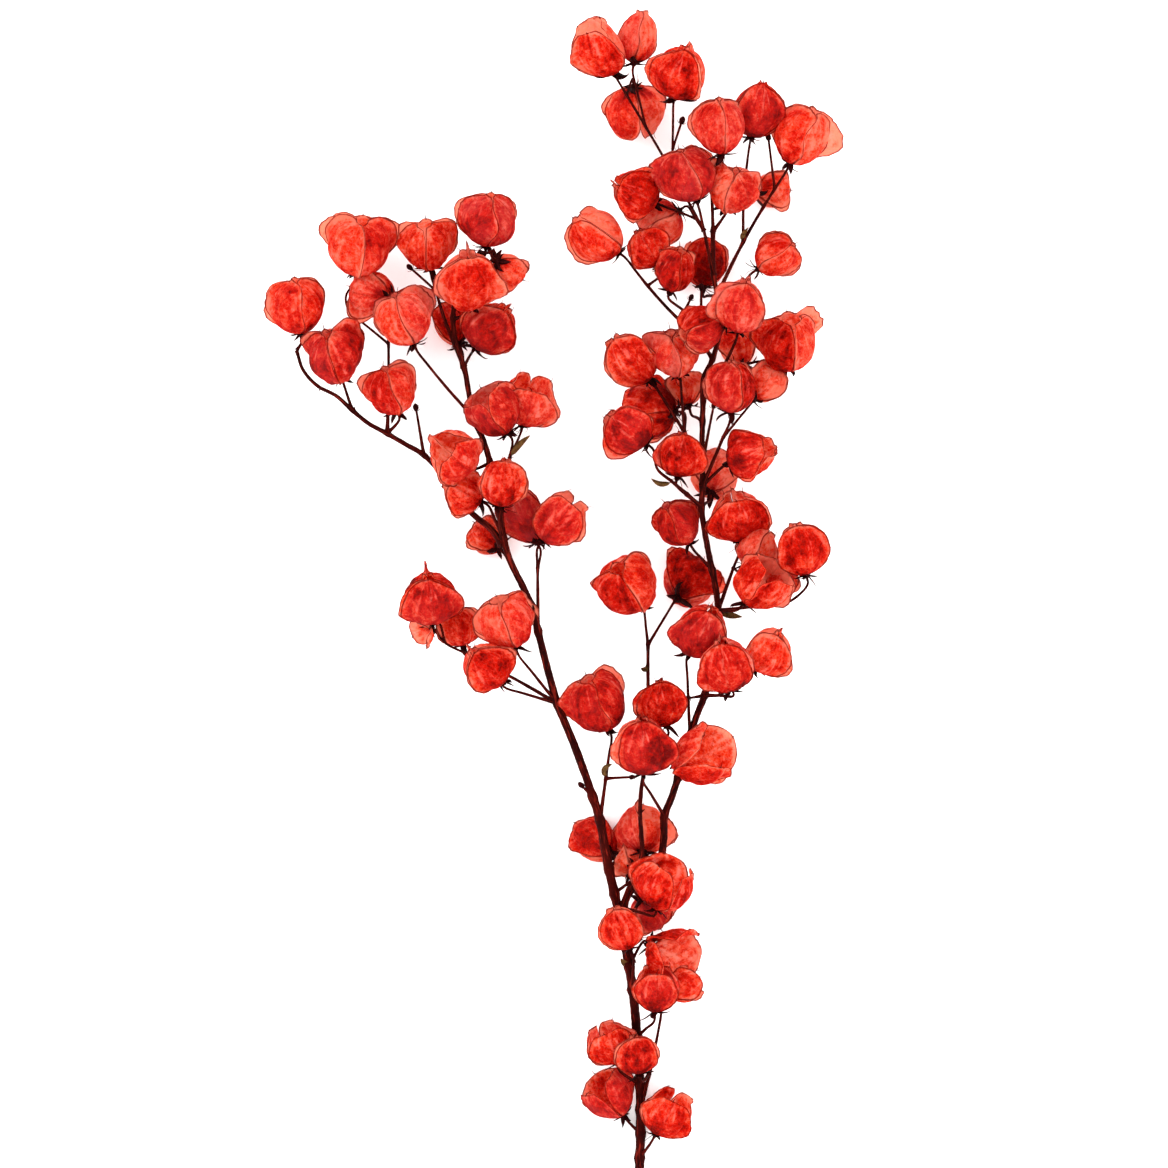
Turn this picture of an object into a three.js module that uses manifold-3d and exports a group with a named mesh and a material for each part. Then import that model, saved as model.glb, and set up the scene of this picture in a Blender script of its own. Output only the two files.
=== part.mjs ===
// A cut spray of dried bougainvillea, lying on a flat surface with its stem along Y and its tips at +Y.
// One woody node holds the stem, branches, twigs, sepals, buds and dry leaves. The blooms are nodes of
// their own: three papery bracts each, cupped into a lantern. Blooms that press on each other share a node.
// Millimetres, +Z up. The origin is under the middle of the spray, on the surface that it lies on.

import * as THREE from "three";
import Module from "manifold-3d";

const wasm = await Module();
wasm.setup();

// Driving dimensions
const SPRAY_LENGTH = 723;            // from the cut end to the highest bloom
const VIEW_ROWS = 1205;              // rows of the plan view that this length takes up
const UNIT = SPRAY_LENGTH / VIEW_ROWS; // one column or row of the plan view, 0.6 mm
const STEM_COLUMN = 640;             // plan column of the stem at its foot
const FOOT_ROW = 1168;               // plan row that the places are counted from
const BRACT_THICKNESS = 0.7;
const CLEARANCE = 0.3;               // air between a stalk's end and its bloom
const SCRAP = 20;                    // mm3, the most that joining may leave loose

// Bloom shape. A bloom is a rounded triangle across its axis: its bracts' edges meet at the corners.
const LEAST_LENGTH = 0.9;            // a bloom is at least this long, in its own widths
const MOST_FLAT = 0.96;              // the most that a bloom's axis lies level
const HALF_WIDTH = THREE.MathUtils.degToRad(57); // a bract's half width round the bloom's axis
const CLOSED = 0.9;                  // how far round from base to crown a closed bract reaches
const OPEN_LOSS = 0.36;              // how much of that an open one gives up
const TIP_FROM = 0.84;               // where along a bract its drawn-out tip starts
const CROWN_TIP = 0.11;              // length of the tip, in bloom lengths
const TIP_DROOP = 0.7;               // how much of that an open bract gives up
const TIP_CURL = [0.1, 0.25];        // how far a closed tip curls out, in radii, and an open one more
const BODY_SHARE = 0.88;             // how much of the length the rounded body takes up
const FACE_SHARE = 0.87;             // a bract's middle stands this far out, in bloom radii
const SEAM_FLARE = 0.2;              // its edges stand out by this much more
const SEAM_SHARPNESS = 2.4;
const WAVES_ALONG = 9;
const WAVES_ACROSS = 4;
const TAPER_FROM = 0.7;              // where along a bract its sides draw in to the tip
const TAPER_ROUNDNESS = 0.8;
const BASE_LENGTH = 0.12;            // a bract widens to its full width over this share of its length
const BASE_WIDTH = 0.72;
const HUB_RADIUS = 1.5;
const HUB_CORNER = THREE.MathUtils.degToRad(42);

// Limits of the seeded draws for a bract
const TURN_DRAW = [-0.01, 0.01];
const OPEN_DRAW = [-0.11, 0.11];
const CURL_DRAW = [-0.5, 1.1];
const FLARE_DRAW = [0.8, 1.2];
const WAVE_DRAW = [0.35, 0.85];

// Settling of the blooms
const SETTLE_PASSES = 90;
const SIDEWAYS = 0.6;                // share of a push that moves a bloom sideways
const BLOOM_GAP = 0.8;
const WOOD_GAP = 1.8;
const HOME_PULL = 0.12;
const STALK_ROOM = 2.2;              // room that a bloom leaves round its neighbour's stalk
const FLOOR_REST = 0.62;             // a bloom may flatten on the surface down to this share of its radius

// Wood
const STEM_STEP = 15;
const BRANCH_STEP = 13;
const TWIG_STEP = 11;
const TWIG_GAP = 2.0;
const TWIG_LIFT = 0.2;               // a twig stays this far above the surface
const BEND_PASSES = 60;
const BEND_SMOOTHING = 0.2;
const STALK_RADIUS = 0.62;
const TWIG_RADIUS = 0.95;
const BRANCHED_RADIUS = 1.1;         // of a twig that bears twigs of its own
const ROOT_SHARE = 0.92;             // thickest that a twig is at its root, in radii of its parent there
const APPROACH = 5;                  // a stalk's last stretch, straight along its bloom's axis
const BUD_RADIUS = 0.87;
const BUD_RISE = 2;
const SEPAL_DRAW = [2.9, 5.5];       // shortest and longest sepal
const SEPAL_RISE = 0.25;
const SEPAL_NOTCH = 1.2;             // radius between two sepals, in radii of the stalk
const LEAF_RADII = [0.5, 1.7, 0.2];  // a rolled dry leaf at its root, its middle and its tip
const LEAF_MIDDLE = 0.6;
const WOOD_TOLERANCE = 0.1;

// Blooms: centre column and row, width, length, base column and row, height of the centre in mm,
// lean (1 faces up, -1 faces down), how open it is, and how many degrees the nearest seam between two
// bracts is turned from straight up (60 brings the middle of a bract up).
const BLOOMS = {
  r01: [600, 50, 54, 62, 613, 72, 56, 1, 0.45, 40],
  r02: [638, 37, 38, 54, 634, 64, 40, -1, 0.3, 0],
  r03: [637, 108, 56, 46, 634, 86, 20, -1, 0.6, 0],
  r04: [680, 74, 62, 50, 675, 97, 70, 1, 0.15, 60],
  r05: [719, 130, 56, 56, 720, 157, 84, 1, 0.1, 5],
  r06: [756, 110, 55, 57, 750, 138, 56, 1, 0.1, 60],
  r07: [803, 138, 62, 60, 788, 170, 60, 1, 0.3, 25],
  r08: [774, 188, 38, 40, 757, 188, 8, -1, 0.4, 60],
  r09: [687, 174, 63, 52, 696, 200, 82, 1, 0.15, 10],
  r10: [732, 190, 53, 52, 728, 207, 62, 1, 0.1, 0],
  r11: [635, 193, 52, 50, 654, 202, 59, 1, 0.25, 50],
  r12: [660, 222, 44, 45, 680, 210, 35, -1, 0.5, 0],
  r13: [597, 236, 58, 56, 618, 252, 50, 1, 0.25, 10],
  r14: [645, 246, 42, 42, 656, 266, 62, 1, 0.1, 60],
  r15: [677, 273, 42, 46, 672, 292, 54, 1, 0.2, 20],
  r16: [706, 262, 44, 48, 704, 288, 8, -1, 0.5, 60],
  r17: [777, 256, 46, 46, 758, 269, 50, 1, 0.1, 0],
  r18: [745, 306, 56, 56, 741, 330, 76, 1, 0.2, 60],
  r19: [697, 330, 48, 44, 718, 322, 86, 1, 0.35, 0],
  r20: [630, 360, 48, 56, 648, 380, 50, 1, 0.35, 60],
  r21: [676, 352, 56, 48, 680, 373, 62, 1, 0.2, 0],
  r22: [788, 342, 66, 50, 786, 366, 58, 1, 0.35, 25],
  r23: [738, 345, 38, 42, 745, 365, 7, -1, 0.5, 60],
  r24: [765, 384, 38, 42, 752, 402, 40, -1, 0.3, 60],
  r25: [732, 388, 50, 52, 730, 413, 74, 1, 0.2, 15],
  r26: [686, 388, 36, 34, 690, 404, 20, -1, 0.4, 60],
  r27: [650, 410, 56, 52, 674, 412, 30, -1, 0.5, 0],
  r28: [628, 430, 52, 46, 648, 446, 74, 1, 0.3, 40],
  r29: [680, 455, 49, 44, 677, 477, 68, 1, 0.1, 60],
  r30: [750, 455, 50, 52, 731, 463, 64, 1, 0.4, 40],
  r31: [715, 475, 52, 42, 712, 492, 8, -1, 0.4, 60],
  r32: [678, 524, 46, 46, 689, 542, 46, 1, 0.2, 0],
  r33: [738, 515, 60, 52, 741, 538, 62, 1, 0.35, 60],
  r34: [757, 550, 42, 42, 746, 566, 32, -1, 0.4, 0],
  r35: [799, 550, 50, 54, 805, 578, 54, 1, 0.25, 60],
  r36: [757, 590, 57, 50, 737, 611, 66, 1, 0.45, 0],
  r37: [786, 576, 34, 34, 771, 590, 50, -1, 0.4, 60],
  r38: [628, 585, 68, 62, 640, 603, 56, 1, 0.3, 5],
  r39: [690, 580, 60, 50, 678, 597, 9, -1, 0.2, 60],
  r40: [700, 630, 64, 56, 690, 651, 62, 1, 0.35, 60],
  r41: [725, 664, 57, 56, 731, 687, 84, 1, 0.2, 60],
  r42: [768, 650, 50, 50, 756, 667, 64, 1, 0.2, 60],
  r43: [597, 702, 68, 57, 608, 728, 56, 1, 0.35, 5],
  r44: [662, 702, 52, 48, 667, 727, 60, 1, 0.15, 60],
  r45: [643, 745, 66, 60, 643, 772, 80, 1, 0.25, 60],
  r46: [700, 757, 52, 64, 681, 769, 64, 1, 0.75, 0],
  r47a: [598, 842, 40, 52, 612, 854, 8, -1, 0.5, 60],
  r47b: [639, 833, 58, 54, 641, 855, 20, -1, 0.2, 0],
  r47c: [630, 862, 32, 28, 634, 870, 27, -1, 0.4, 20],
  r48: [664, 885, 56, 46, 657, 907, 56, 1, 0.4, 20],
  r49: [650, 915, 40, 40, 641, 902, 7, -1, 0.4, 60],
  r50: [622, 928, 42, 44, 630, 948, 50, 1, 0.3, 60],
  r51: [670, 955, 54, 46, 652, 945, 44, 1, 0.45, 0],
  r52: [656, 990, 40, 46, 655, 1012, 36, 1, 0.3, 60],
  r53: [685, 988, 32, 34, 668, 1000, 26, -1, 0.5, 60],
  r54: [609, 1045, 44, 44, 618, 1067, 8, 1, 0.35, 60],
  r55: [637, 1055, 44, 38, 640, 1074, 38, 1, 0.2, 60],
  r56: [614, 1098, 46, 50, 629, 1120, 8, 1, 0.4, 0],
  r57: [666, 1116, 46, 48, 654, 1139, 8, 1, 0.4, 60],
  l01: [297, 306, 58, 56, 300, 334, 40, 1, 0.15, 60],
  l02: [334, 355, 66, 54, 341, 377, 46, 1, 0.3, 0],
  l03: [391, 390, 56, 46, 397, 411, 50, 1, 0.1, 0],
  l04: [361, 246, 70, 52, 358, 272, 52, 1, 0.2, 0],
  l05: [370, 292, 52, 46, 388, 298, 24, -1, 0.3, 60],
  l06: [404, 318, 64, 57, 414, 343, 60, 1, 0.15, 60],
  l07: [428, 245, 55, 46, 430, 266, 42, 1, 0.4, 0],
  l08: [489, 221, 58, 52, 486, 246, 50, 1, 0.1, 5],
  l09: [467, 280, 68, 60, 468, 305, 64, 1, 0.25, 60],
  l10: [511, 270, 34, 36, 500, 262, 42, -1, 0.3, 60],
  l11: [490, 327, 58, 46, 476, 346, 38, 1, 0.2, 60],
  l12: [450, 323, 34, 45, 458, 342, 7, -1, 0.4, 60],
  l13a: [495, 412, 54, 50, 511, 438, 64, 1, 0.5, 0],
  l13b: [529, 402, 48, 50, 523, 424, 42, 1, 0.5, 60],
  l14: [455, 457, 52, 50, 468, 466, 66, 1, 0.5, 60],
  l15: [503, 482, 46, 50, 500, 506, 68, 1, 0.15, 60],
  l16: [463, 492, 44, 42, 480, 501, 46, 1, 0.4, 60],
  l17: [524, 517, 42, 58, 538, 545, 28, -1, 0.5, 60],
  l18: [560, 520, 46, 55, 543, 541, 50, 1, 0.6, 60],
  l19: [487, 537, 36, 37, 498, 548, 6, -1, 0.4, 60],
  l20: [431, 596, 60, 49, 433, 617, 48, 1, 0.2, 60],
  l21: [419, 634, 26, 22, 432, 627, 40, 1, 0.6, 0],
  l22: [458, 625, 45, 43, 462, 645, 24, 1, 0.2, 60],
  l23: [507, 620, 60, 53, 517, 645, 76, 1, 0.4, 0],
  l24: [486, 668, 52, 50, 499, 684, 52, 1, 0.15, 60],
};

// Blooms that press on each other and share a node, with the distance between each and the next,
// in the sum of their reaches
const PRESSED_TOGETHER = [
  ["r01", "r02", 0.8], ["r05", "r06", 0.89], ["r06", "r07", 0.89], ["r09", "r10", 0.84],
  ["r12", "r14", 0.82], ["r14", "r15", 0.85], ["r18", "r19", 0.89], ["r20", "r21", 0.84],
  ["r22", "r24", 0.89], ["r26", "r27", 0.89], ["r33", "r34", 0.8], ["r36", "r37", 0.74],
  ["r44", "r45", 0.89], ["r47b", "r47c", 0.89], ["r51", "r52", 0.86],
  ["r51", "r53", 0.84], ["r54", "r55", 0.87], ["l04", "l05", 0.89], ["l09", "l10", 0.8],
  ["l13a", "l13b", 0.89], ["l14", "l16", 0.89], ["l17", "l18", 0.89], ["l20", "l21", 0.89],
  ["r40", "r41", 0.89], ["l23", "l24", 0.84],
];

// Main wood: radius at the root and at the end, then column, row and height in mm
const MAIN_WOOD = {
  stem: [3.0, 1.2, [
    [640, 1212, 2.9], [640, 1168, 3.2], [641, 1130, 6], [640, 1080, 12], [637, 1035, 19],
    [634, 1000, 25], [629, 965, 30], [625, 945, 32], [617, 905, 36], [607, 860, 40], [600, 820, 43],
    [592, 795, 45], [580, 760, 47], [566, 725, 49], [556, 700, 50], [548, 670, 51], [540, 640, 52],
    [533, 610, 52], [522, 585, 52], [508, 555, 51], [502, 530, 50], [498, 500, 49], [492, 470, 48],
    [484, 442, 47], [474, 421, 46], [470, 400, 46], [466, 375, 46], [461, 358, 46], [455, 340, 44],
    [453, 318, 41], [455, 300, 38], [463, 278, 36], [473, 260, 37], [480, 252, 38],
  ]],
  right: [2.1, 1.2, [
    [622, 930, 33], [624, 905, 34], [632, 888, 34], [645, 872, 34], [658, 862, 35], [664, 845, 36],
    [663, 825, 38], [668, 805, 40], [675, 790, 42], [681, 765, 43], [690, 735, 44], [697, 715, 44],
    [703, 700, 43], [708, 685, 42], [713, 650, 42], [718, 610, 44], [716, 590, 47], [710, 560, 50],
    [706, 540, 51], [703, 520, 52], [701, 500, 53], [703, 480, 53], [702, 460, 53], [702, 430, 53],
    [703, 400, 53], [703, 380, 53], [708, 370, 52], [714, 355, 52], [718, 335, 51], [717, 295, 50],
    [714, 280, 50], [713, 260, 50], [713, 232, 49],
  ]],
  middle: [1.3, 0.9, [
    [620, 912, 36], [630, 885, 38], [638, 868, 40], [642, 853, 41], [641, 830, 41], [640, 803, 41],
    [643, 778, 41], [647, 740, 40], [648, 700, 40], [648, 665, 41], [648, 645, 43],
  ]],
  long_left: [1.7, 0.9, [
    [502, 545, 50], [490, 528, 44], [470, 512, 36], [455, 495, 31], [443, 480, 30], [433, 462, 31],
    [410, 447, 34], [390, 435, 36], [375, 427, 37], [360, 418, 38], [350, 408, 38], [335, 395, 38],
    [315, 384, 37], [300, 365, 35], [296, 350, 34],
  ]],
};

// Twigs: own name, parent, where it leaves the parent, points on its way (with a height where it has to
// pass over or under something) and the bloom that it bears. A twig with no bloom ends in a bud.
const TWIGS = [
  ["", "long_left", [296, 350], [], "l01"],
  ["", "long_left", [350, 408], [[347, 395]], "l02"],
  ["", "long_left", [380, 430], [[385, 423]], "l03"],
  ["", "long_left", [431, 458], [[425, 435], [416, 410]], ""],
  ["a", "long_left", [386, 432], [
    [392, 410, 26], [393, 385, 26], [391, 364, 32], [388, 345, 34], [388, 325, 34],
  ], ""],
  ["", "a", [388, 325], [[388, 312]], "l05"],
  ["", "a", [388, 340], [[378, 318, 42], [366, 292, 44]], "l04"],
  ["", "stem", [474, 421], [[455, 410], [440, 398], [428, 385], [415, 368], [411, 354]], "l06"],
  ["b", "stem", [461, 358], [[440, 335], [437, 315], [430, 300], [422, 288], [422, 276]], "l07"],
  ["", "b", [424, 290], [[414, 280], [412, 268]], ""],
  ["", "stem", [480, 252], [], "l08"],
  ["", "stem", [454, 310], [[460, 308]], "l09"],
  ["", "stem", [473, 260], [[486, 262]], "l10"],
  ["", "stem", [466, 372], [[471, 360]], "l11"],
  ["", "stem", [463, 364], [[461, 354]], "l12"],
  ["c", "stem", [500, 512], [[508, 500, 42], [514, 480, 42], [516, 462, 46]], "l13a"],
  ["", "c", [516, 460], [[519, 440]], "l13b"],
  ["", "stem", [490, 462], [[480, 464]], "l14"],
  ["", "stem", [503, 530], [[502, 518]], "l15"],
  ["", "stem", [502, 540], [[492, 520]], "l16"],
  ["d", "stem", [537, 632], [[539, 612], [542, 590], [543, 570]], "l18"],
  ["", "d", [543, 562], [[541, 554]], "l17"],
  ["", "stem", [528, 605], [[516, 585], [507, 562]], "l19"],
  ["e", "stem", [556, 712], [[530, 690], [512, 664], [490, 655], [472, 650]], "l22"],
  ["f", "e", [476, 652], [[456, 642], [444, 634]], "l20"],
  ["", "f", [444, 634], [[439, 632]], "l21"],
  ["", "stem", [554, 706], [[545, 697], [535, 682], [521, 660]], "l23"],
  ["", "stem", [558, 716], [[530, 705], [515, 697]], "l24"],
  ["", "stem", [640, 1146], [[637, 1134]], "r56"],
  ["", "stem", [641, 1150], [[648, 1144]], "r57"],
  ["g", "stem", [641, 1105], [[648, 1094], [655, 1080], [660, 1060], [663, 1030], [666, 1012]], "r53"],
  ["", "g", [656, 1080], [[648, 1083]], "r55"],
  ["", "stem", [640, 1092], [[630, 1080]], "r54"],
  ["", "stem", [638, 1040], [[648, 1026]], "r52"],
  ["", "stem", [631, 972], [[640, 952]], "r51"],
  ["", "stem", [632, 985], [[634, 965]], "r50"],
  ["", "right", [628, 896], [], "r49"],
  ["", "right", [624, 915], [[640, 914]], "r48"],
  ["", "stem", [611, 880], [[605, 864]], "r47a"],
  ["", "middle", [636, 872], [], "r47b"],
  ["", "stem", [614, 892], [[624, 882]], "r47c"],
  ["h", "stem", [597, 812], [[602, 800], [604, 785], [609, 768], [607, 745]], "r43"],
  ["", "h", [604, 785], [[616, 785], [624, 782], [630, 777]], ""],
  ["", "right", [663, 822], [[652, 800], [644, 786]], "r45"],
  ["", "stem", [590, 792], [[583, 787]], ""],
  ["", "middle", [647, 742], [[658, 736]], "r44"],
  ["", "right", [707, 690], [[700, 692], [690, 698]], ""],
  ["", "right", [677, 784], [], "r46"],
  ["", "right", [692, 730], [[684, 704], [686, 678]], "r40"],
  ["i", "right", [703, 702], [[716, 698]], "r41"],
  ["", "i", [716, 698], [[738, 690], [752, 677]], "r42"],
  ["", "middle", [648, 652], [[662, 632], [670, 612]], "r39"],
  ["", "middle", [648, 645], [[643, 620]], "r38"],
  ["j", "right", [718, 616], [[728, 614]], "r36"],
  ["k", "j", [722, 615], [[736, 612, 38], [752, 604, 30], [776, 598, 30], [793, 590, 36]], "r35"],
  ["", "k", [764, 602], [], "r37"],
  ["l", "right", [718, 606], [[724, 595], [733, 580], [738, 562]], "r33"],
  ["", "l", [735, 575], [], "r34"],
  ["", "right", [708, 560], [[698, 550]], "r32"],
  ["", "right", [702, 508], [], "r31"],
  ["", "right", [704, 484], [[714, 474], [722, 469]], "r30"],
  ["m", "right", [702, 516], [[693, 508], [680, 492], [668, 475], [656, 458]], "r28"],
  ["", "m", [682, 495], [[678, 486]], "r29"],
  ["n", "right", [702, 462], [[693, 432], [687, 414, 47], [675, 397, 44], [661, 384]], "r20"],
  ["", "n", [689, 420], [[690, 402, 50], [684, 384]], "r21"],
  ["", "n", [690, 425], [[682, 418]], "r27"],
  ["", "right", [703, 420], [[697, 412]], "r26"],
  ["o", "right", [704, 492], [[712, 472], [720, 455], [729, 435]], "r25"],
  ["", "o", [727, 440], [[742, 418]], "r24"],
  ["", "right", [703, 470], [[708, 445], [711, 425], [713, 408]], ""],
  ["p", "right", [703, 408], [[720, 388, 44], [737, 367, 46], [741, 348, 56]], "r18"],
  ["", "p", [730, 376], [[740, 374]], "r23"],
  ["", "p", [734, 371], [[760, 376], [776, 374]], "r22"],
  ["", "right", [718, 342], [[721, 332]], "r19"],
  ["", "right", [717, 300], [[710, 296]], "r16"],
  ["q", "right", [714, 358], [
    [696, 346, 38], [668, 330, 40], [655, 305, 48], [647, 286, 50], [637, 266], [627, 257],
  ], "r13"],
  ["", "q", [648, 289], [[652, 276]], "r14"],
  ["s", "right", [718, 330], [[696, 320, 44], [680, 310, 46]], "r15"],
  ["", "s", [696, 320], [[698, 305], [701, 290]], ""],
  ["", "s", [690, 317], [[690, 300]], ""],
  ["", "right", [718, 322], [[734, 302, 44], [746, 280, 48]], "r17"],
  ["t", "right", [717, 300], [
    [722, 288], [728, 270], [733, 250], [745, 222], [758, 195], [772, 180],
  ], "r07"],
  ["", "t", [752, 208], [[754, 196]], "r08"],
  ["", "right", [713, 234], [[718, 220]], "r10"],
  ["u", "right", [714, 278], [[709, 258], [705, 240], [699, 220]], "r09"],
  ["v", "u", [702, 230], [[690, 219]], "r12"],
  ["", "v", [692, 221], [[674, 213, 58]], "r11"],
  ["w", "u", [700, 222], [
    [690, 196, 46], [676, 176, 46], [665, 160, 48], [652, 140, 49], [645, 128, 49], [634, 102, 50],
    [623, 86],
  ], "r01"],
  ["", "w", [642, 120], [[642, 100], [637, 80]], "r02"],
  ["", "w", [629, 94], [], "r03"],
  ["x", "w", [670, 167], [[674, 152], [669, 124]], "r04"],
  ["", "x", [674, 152], [[684, 146], [681, 124]], ""],
  ["", "right", [713, 234], [[718, 204, 46], [722, 180, 52]], "r05"],
  ["", "t", [736, 242], [[733, 220], [735, 192, 42], [738, 168, 46], [741, 152]], "r06"],
  ["", "t", [772, 180], [[770, 160], [769, 140]], ""],
];

// Small curled dry leaves: the wood they stand on, where, the column and row of the tip, and its rise
const DRY_LEAVES = [
  ["m", [668, 475], 651, 479, 5], ["long_left", [433, 462], 431, 446, 6], ["c", [516, 455], 530, 436, 5],
  ["middle", [648, 672], 641, 668, 5], ["h", [606, 770], 612, 764, 5], ["j", [728, 614], 742, 617, 4],
  ["stem", [630, 965], 621, 959, 5], ["t", [740, 232], 748, 228, 4],
];

// A seeded draw between 0 and 1, alike on every run
function seededDraw(seed) {
  let state = seed >>> 0;
  return () => {
    state = (Math.imul(state, 1664525) + 1013904223) >>> 0;
    return state / 4294967296;
  };
}

function seedOf(name) {
  let seed = 7;
  for (const letter of name) seed = (Math.imul(seed, 31) + letter.charCodeAt(0)) >>> 0;
  return seed;
}

function between(draw, [low, high]) {
  return low + (high - low) * draw();
}

function plan(column, row, height = 0) {
  return new THREE.Vector3((column - STEM_COLUMN) * UNIT, (FOOT_ROW - row) * UNIT, height);
}

// Blooms as balls with an axis, before they settle
function planBlooms() {
  const blooms = [];
  for (const [name, row] of Object.entries(BLOOMS)) {
    const [column, line, width, length, baseColumn, baseLine, height, lean, open, seam] = row;
    const centre = plan(column, line, height);
    const flat = centre.clone().sub(plan(baseColumn, baseLine, height));
    const radius = width * UNIT / 2;
    const half = Math.max(length * UNIT / 2, LEAST_LENGTH * radius);
    const along = Math.min(flat.length() / half, MOST_FLAT);
    const axis = flat.clone().normalize().multiplyScalar(along);
    axis.z = lean * Math.sqrt(1 - along * along);
    const upright = new THREE.Quaternion().setFromUnitVectors(new THREE.Vector3(0, 0, 1), axis);
    const above = new THREE.Vector3(0, 0, 1).applyQuaternion(upright.clone().invert());
    const firstBract = Math.atan2(above.y, above.x) + THREE.MathUtils.degToRad(seam + 60);
    blooms.push({
      name, centre, home: centre.clone(), axis, upright, firstBract, radius, half, open,
      reach: (radius + half) / 2,
    });
  }
  return blooms;
}

function nearestOnSegment(point, start, end) {
  const span = end.clone().sub(start);
  const share = THREE.MathUtils.clamp(point.clone().sub(start).dot(span) / span.lengthSq(), 0, 1);
  return start.clone().addScaledVector(span, share);
}

// Neighbours push each other apart, mostly up and down, and pressed ones are drawn together
function settle(blooms, routes) {
  const pressed = new Map(PRESSED_TOGETHER.map(([one, other, share]) => [one + other, share]));
  const shift = new THREE.Vector3();
  for (let pass = 0; pass < SETTLE_PASSES; pass += 1) {
    for (let i = 0; i < blooms.length; i += 1) {
      for (let j = i + 1; j < blooms.length; j += 1) {
        const one = blooms[i];
        const other = blooms[j];
        shift.subVectors(other.centre, one.centre);
        const distance = shift.length();
        const share = pressed.get(one.name + other.name);
        const touching = one.reach + other.reach;
        const wanted = share ? share * touching : touching + BLOOM_GAP;
        if (!share && distance >= wanted) continue;
        shift.multiplyScalar(0.5 * (wanted - distance) / distance);
        shift.x *= SIDEWAYS;
        shift.y *= SIDEWAYS;
        one.centre.sub(shift);
        other.centre.add(shift);
      }
    }
    for (const one of blooms) {
      for (const other of blooms) {
        if (one === other) continue;
        shift.copy(one.centre).addScaledVector(one.axis, -one.half - STALK_ROOM).sub(other.centre);
        const distance = shift.length();
        const wanted = other.reach + STALK_ROOM;
        if (distance >= wanted) continue;
        shift.multiplyScalar(0.5 * (wanted - distance) / distance);
        shift.x *= SIDEWAYS;
        shift.y *= SIDEWAYS;
        one.centre.add(shift);
        other.centre.sub(shift);
      }
    }
    for (const bloom of blooms) {
      for (const route of routes) {
        for (let k = 1; k < route.points.length; k += 1) {
          const near = nearestOnSegment(bloom.centre, route.points[k - 1], route.points[k]);
          shift.subVectors(bloom.centre, near);
          const distance = shift.length();
          const wanted = bloom.reach + route.radii[k] + WOOD_GAP;
          if (distance >= wanted) continue;
          shift.multiplyScalar((wanted - distance) / distance);
          shift.x *= SIDEWAYS;
          shift.y *= SIDEWAYS;
          bloom.centre.add(shift);
        }
      }
      bloom.centre.x += (bloom.home.x - bloom.centre.x) * HOME_PULL;
      bloom.centre.y += (bloom.home.y - bloom.centre.y) * HOME_PULL;
      bloom.centre.z = Math.max(bloom.centre.z, FLOOR_REST * bloom.reach);
    }
  }
  for (const bloom of blooms) bloom.base = bloom.centre.clone().addScaledVector(bloom.axis, -bloom.half);
}

// Blooms in the groups that share a node
function bloomGroups(blooms) {
  const groups = new Map(blooms.map((bloom) => [bloom.name, [bloom]]));
  for (const [one, other] of PRESSED_TOGETHER) {
    const joined = [...new Set([...groups.get(one), ...groups.get(other)])];
    for (const bloom of joined) groups.set(bloom.name, joined);
  }
  return new Set(groups.values());
}

// A route through given points, evenly stepped, with a radius at every step
function steppedRoute(corners, step, rootRadius, endRadius) {
  const curve = new THREE.CatmullRomCurve3(corners, false, "centripetal");
  const count = Math.max(2, Math.round(curve.getLength() / step));
  const points = curve.getSpacedPoints(count);
  const radii = points.map((_, k) => THREE.MathUtils.lerp(rootRadius, endRadius, k / count));
  return { points, radii };
}

function nearestStep(route, spot) {
  let best = 0;
  let least = Infinity;
  route.points.forEach((point, k) => {
    const distance = Math.hypot(point.x - spot.x, point.y - spot.y);
    if (distance < least) {
      least = distance;
      best = k;
    }
  });
  return best;
}

// A twig is bent clear of every bloom. Its root, and its last step into its own bloom, stay put.
function bendClear(points, radius, blooms, fixedEnd) {
  const push = new THREE.Vector3();
  for (let pass = 0; pass < BEND_PASSES; pass += 1) {
    for (let k = 1; k < points.length - fixedEnd; k += 1) {
      const point = points[k];
      const middle = points[k - 1].clone().add(points[k + 1] ?? points[k]).multiplyScalar(0.5);
      if (points[k + 1]) point.lerp(middle, BEND_SMOOTHING);
      for (const bloom of blooms) {
        push.subVectors(point, bloom.centre);
        const distance = push.length();
        const wanted = bloom.reach + radius + TWIG_GAP;
        if (distance < wanted) point.addScaledVector(push, (wanted - distance) / distance);
      }
      point.z = Math.max(point.z, radius + TWIG_LIFT);
    }
  }
}

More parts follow.
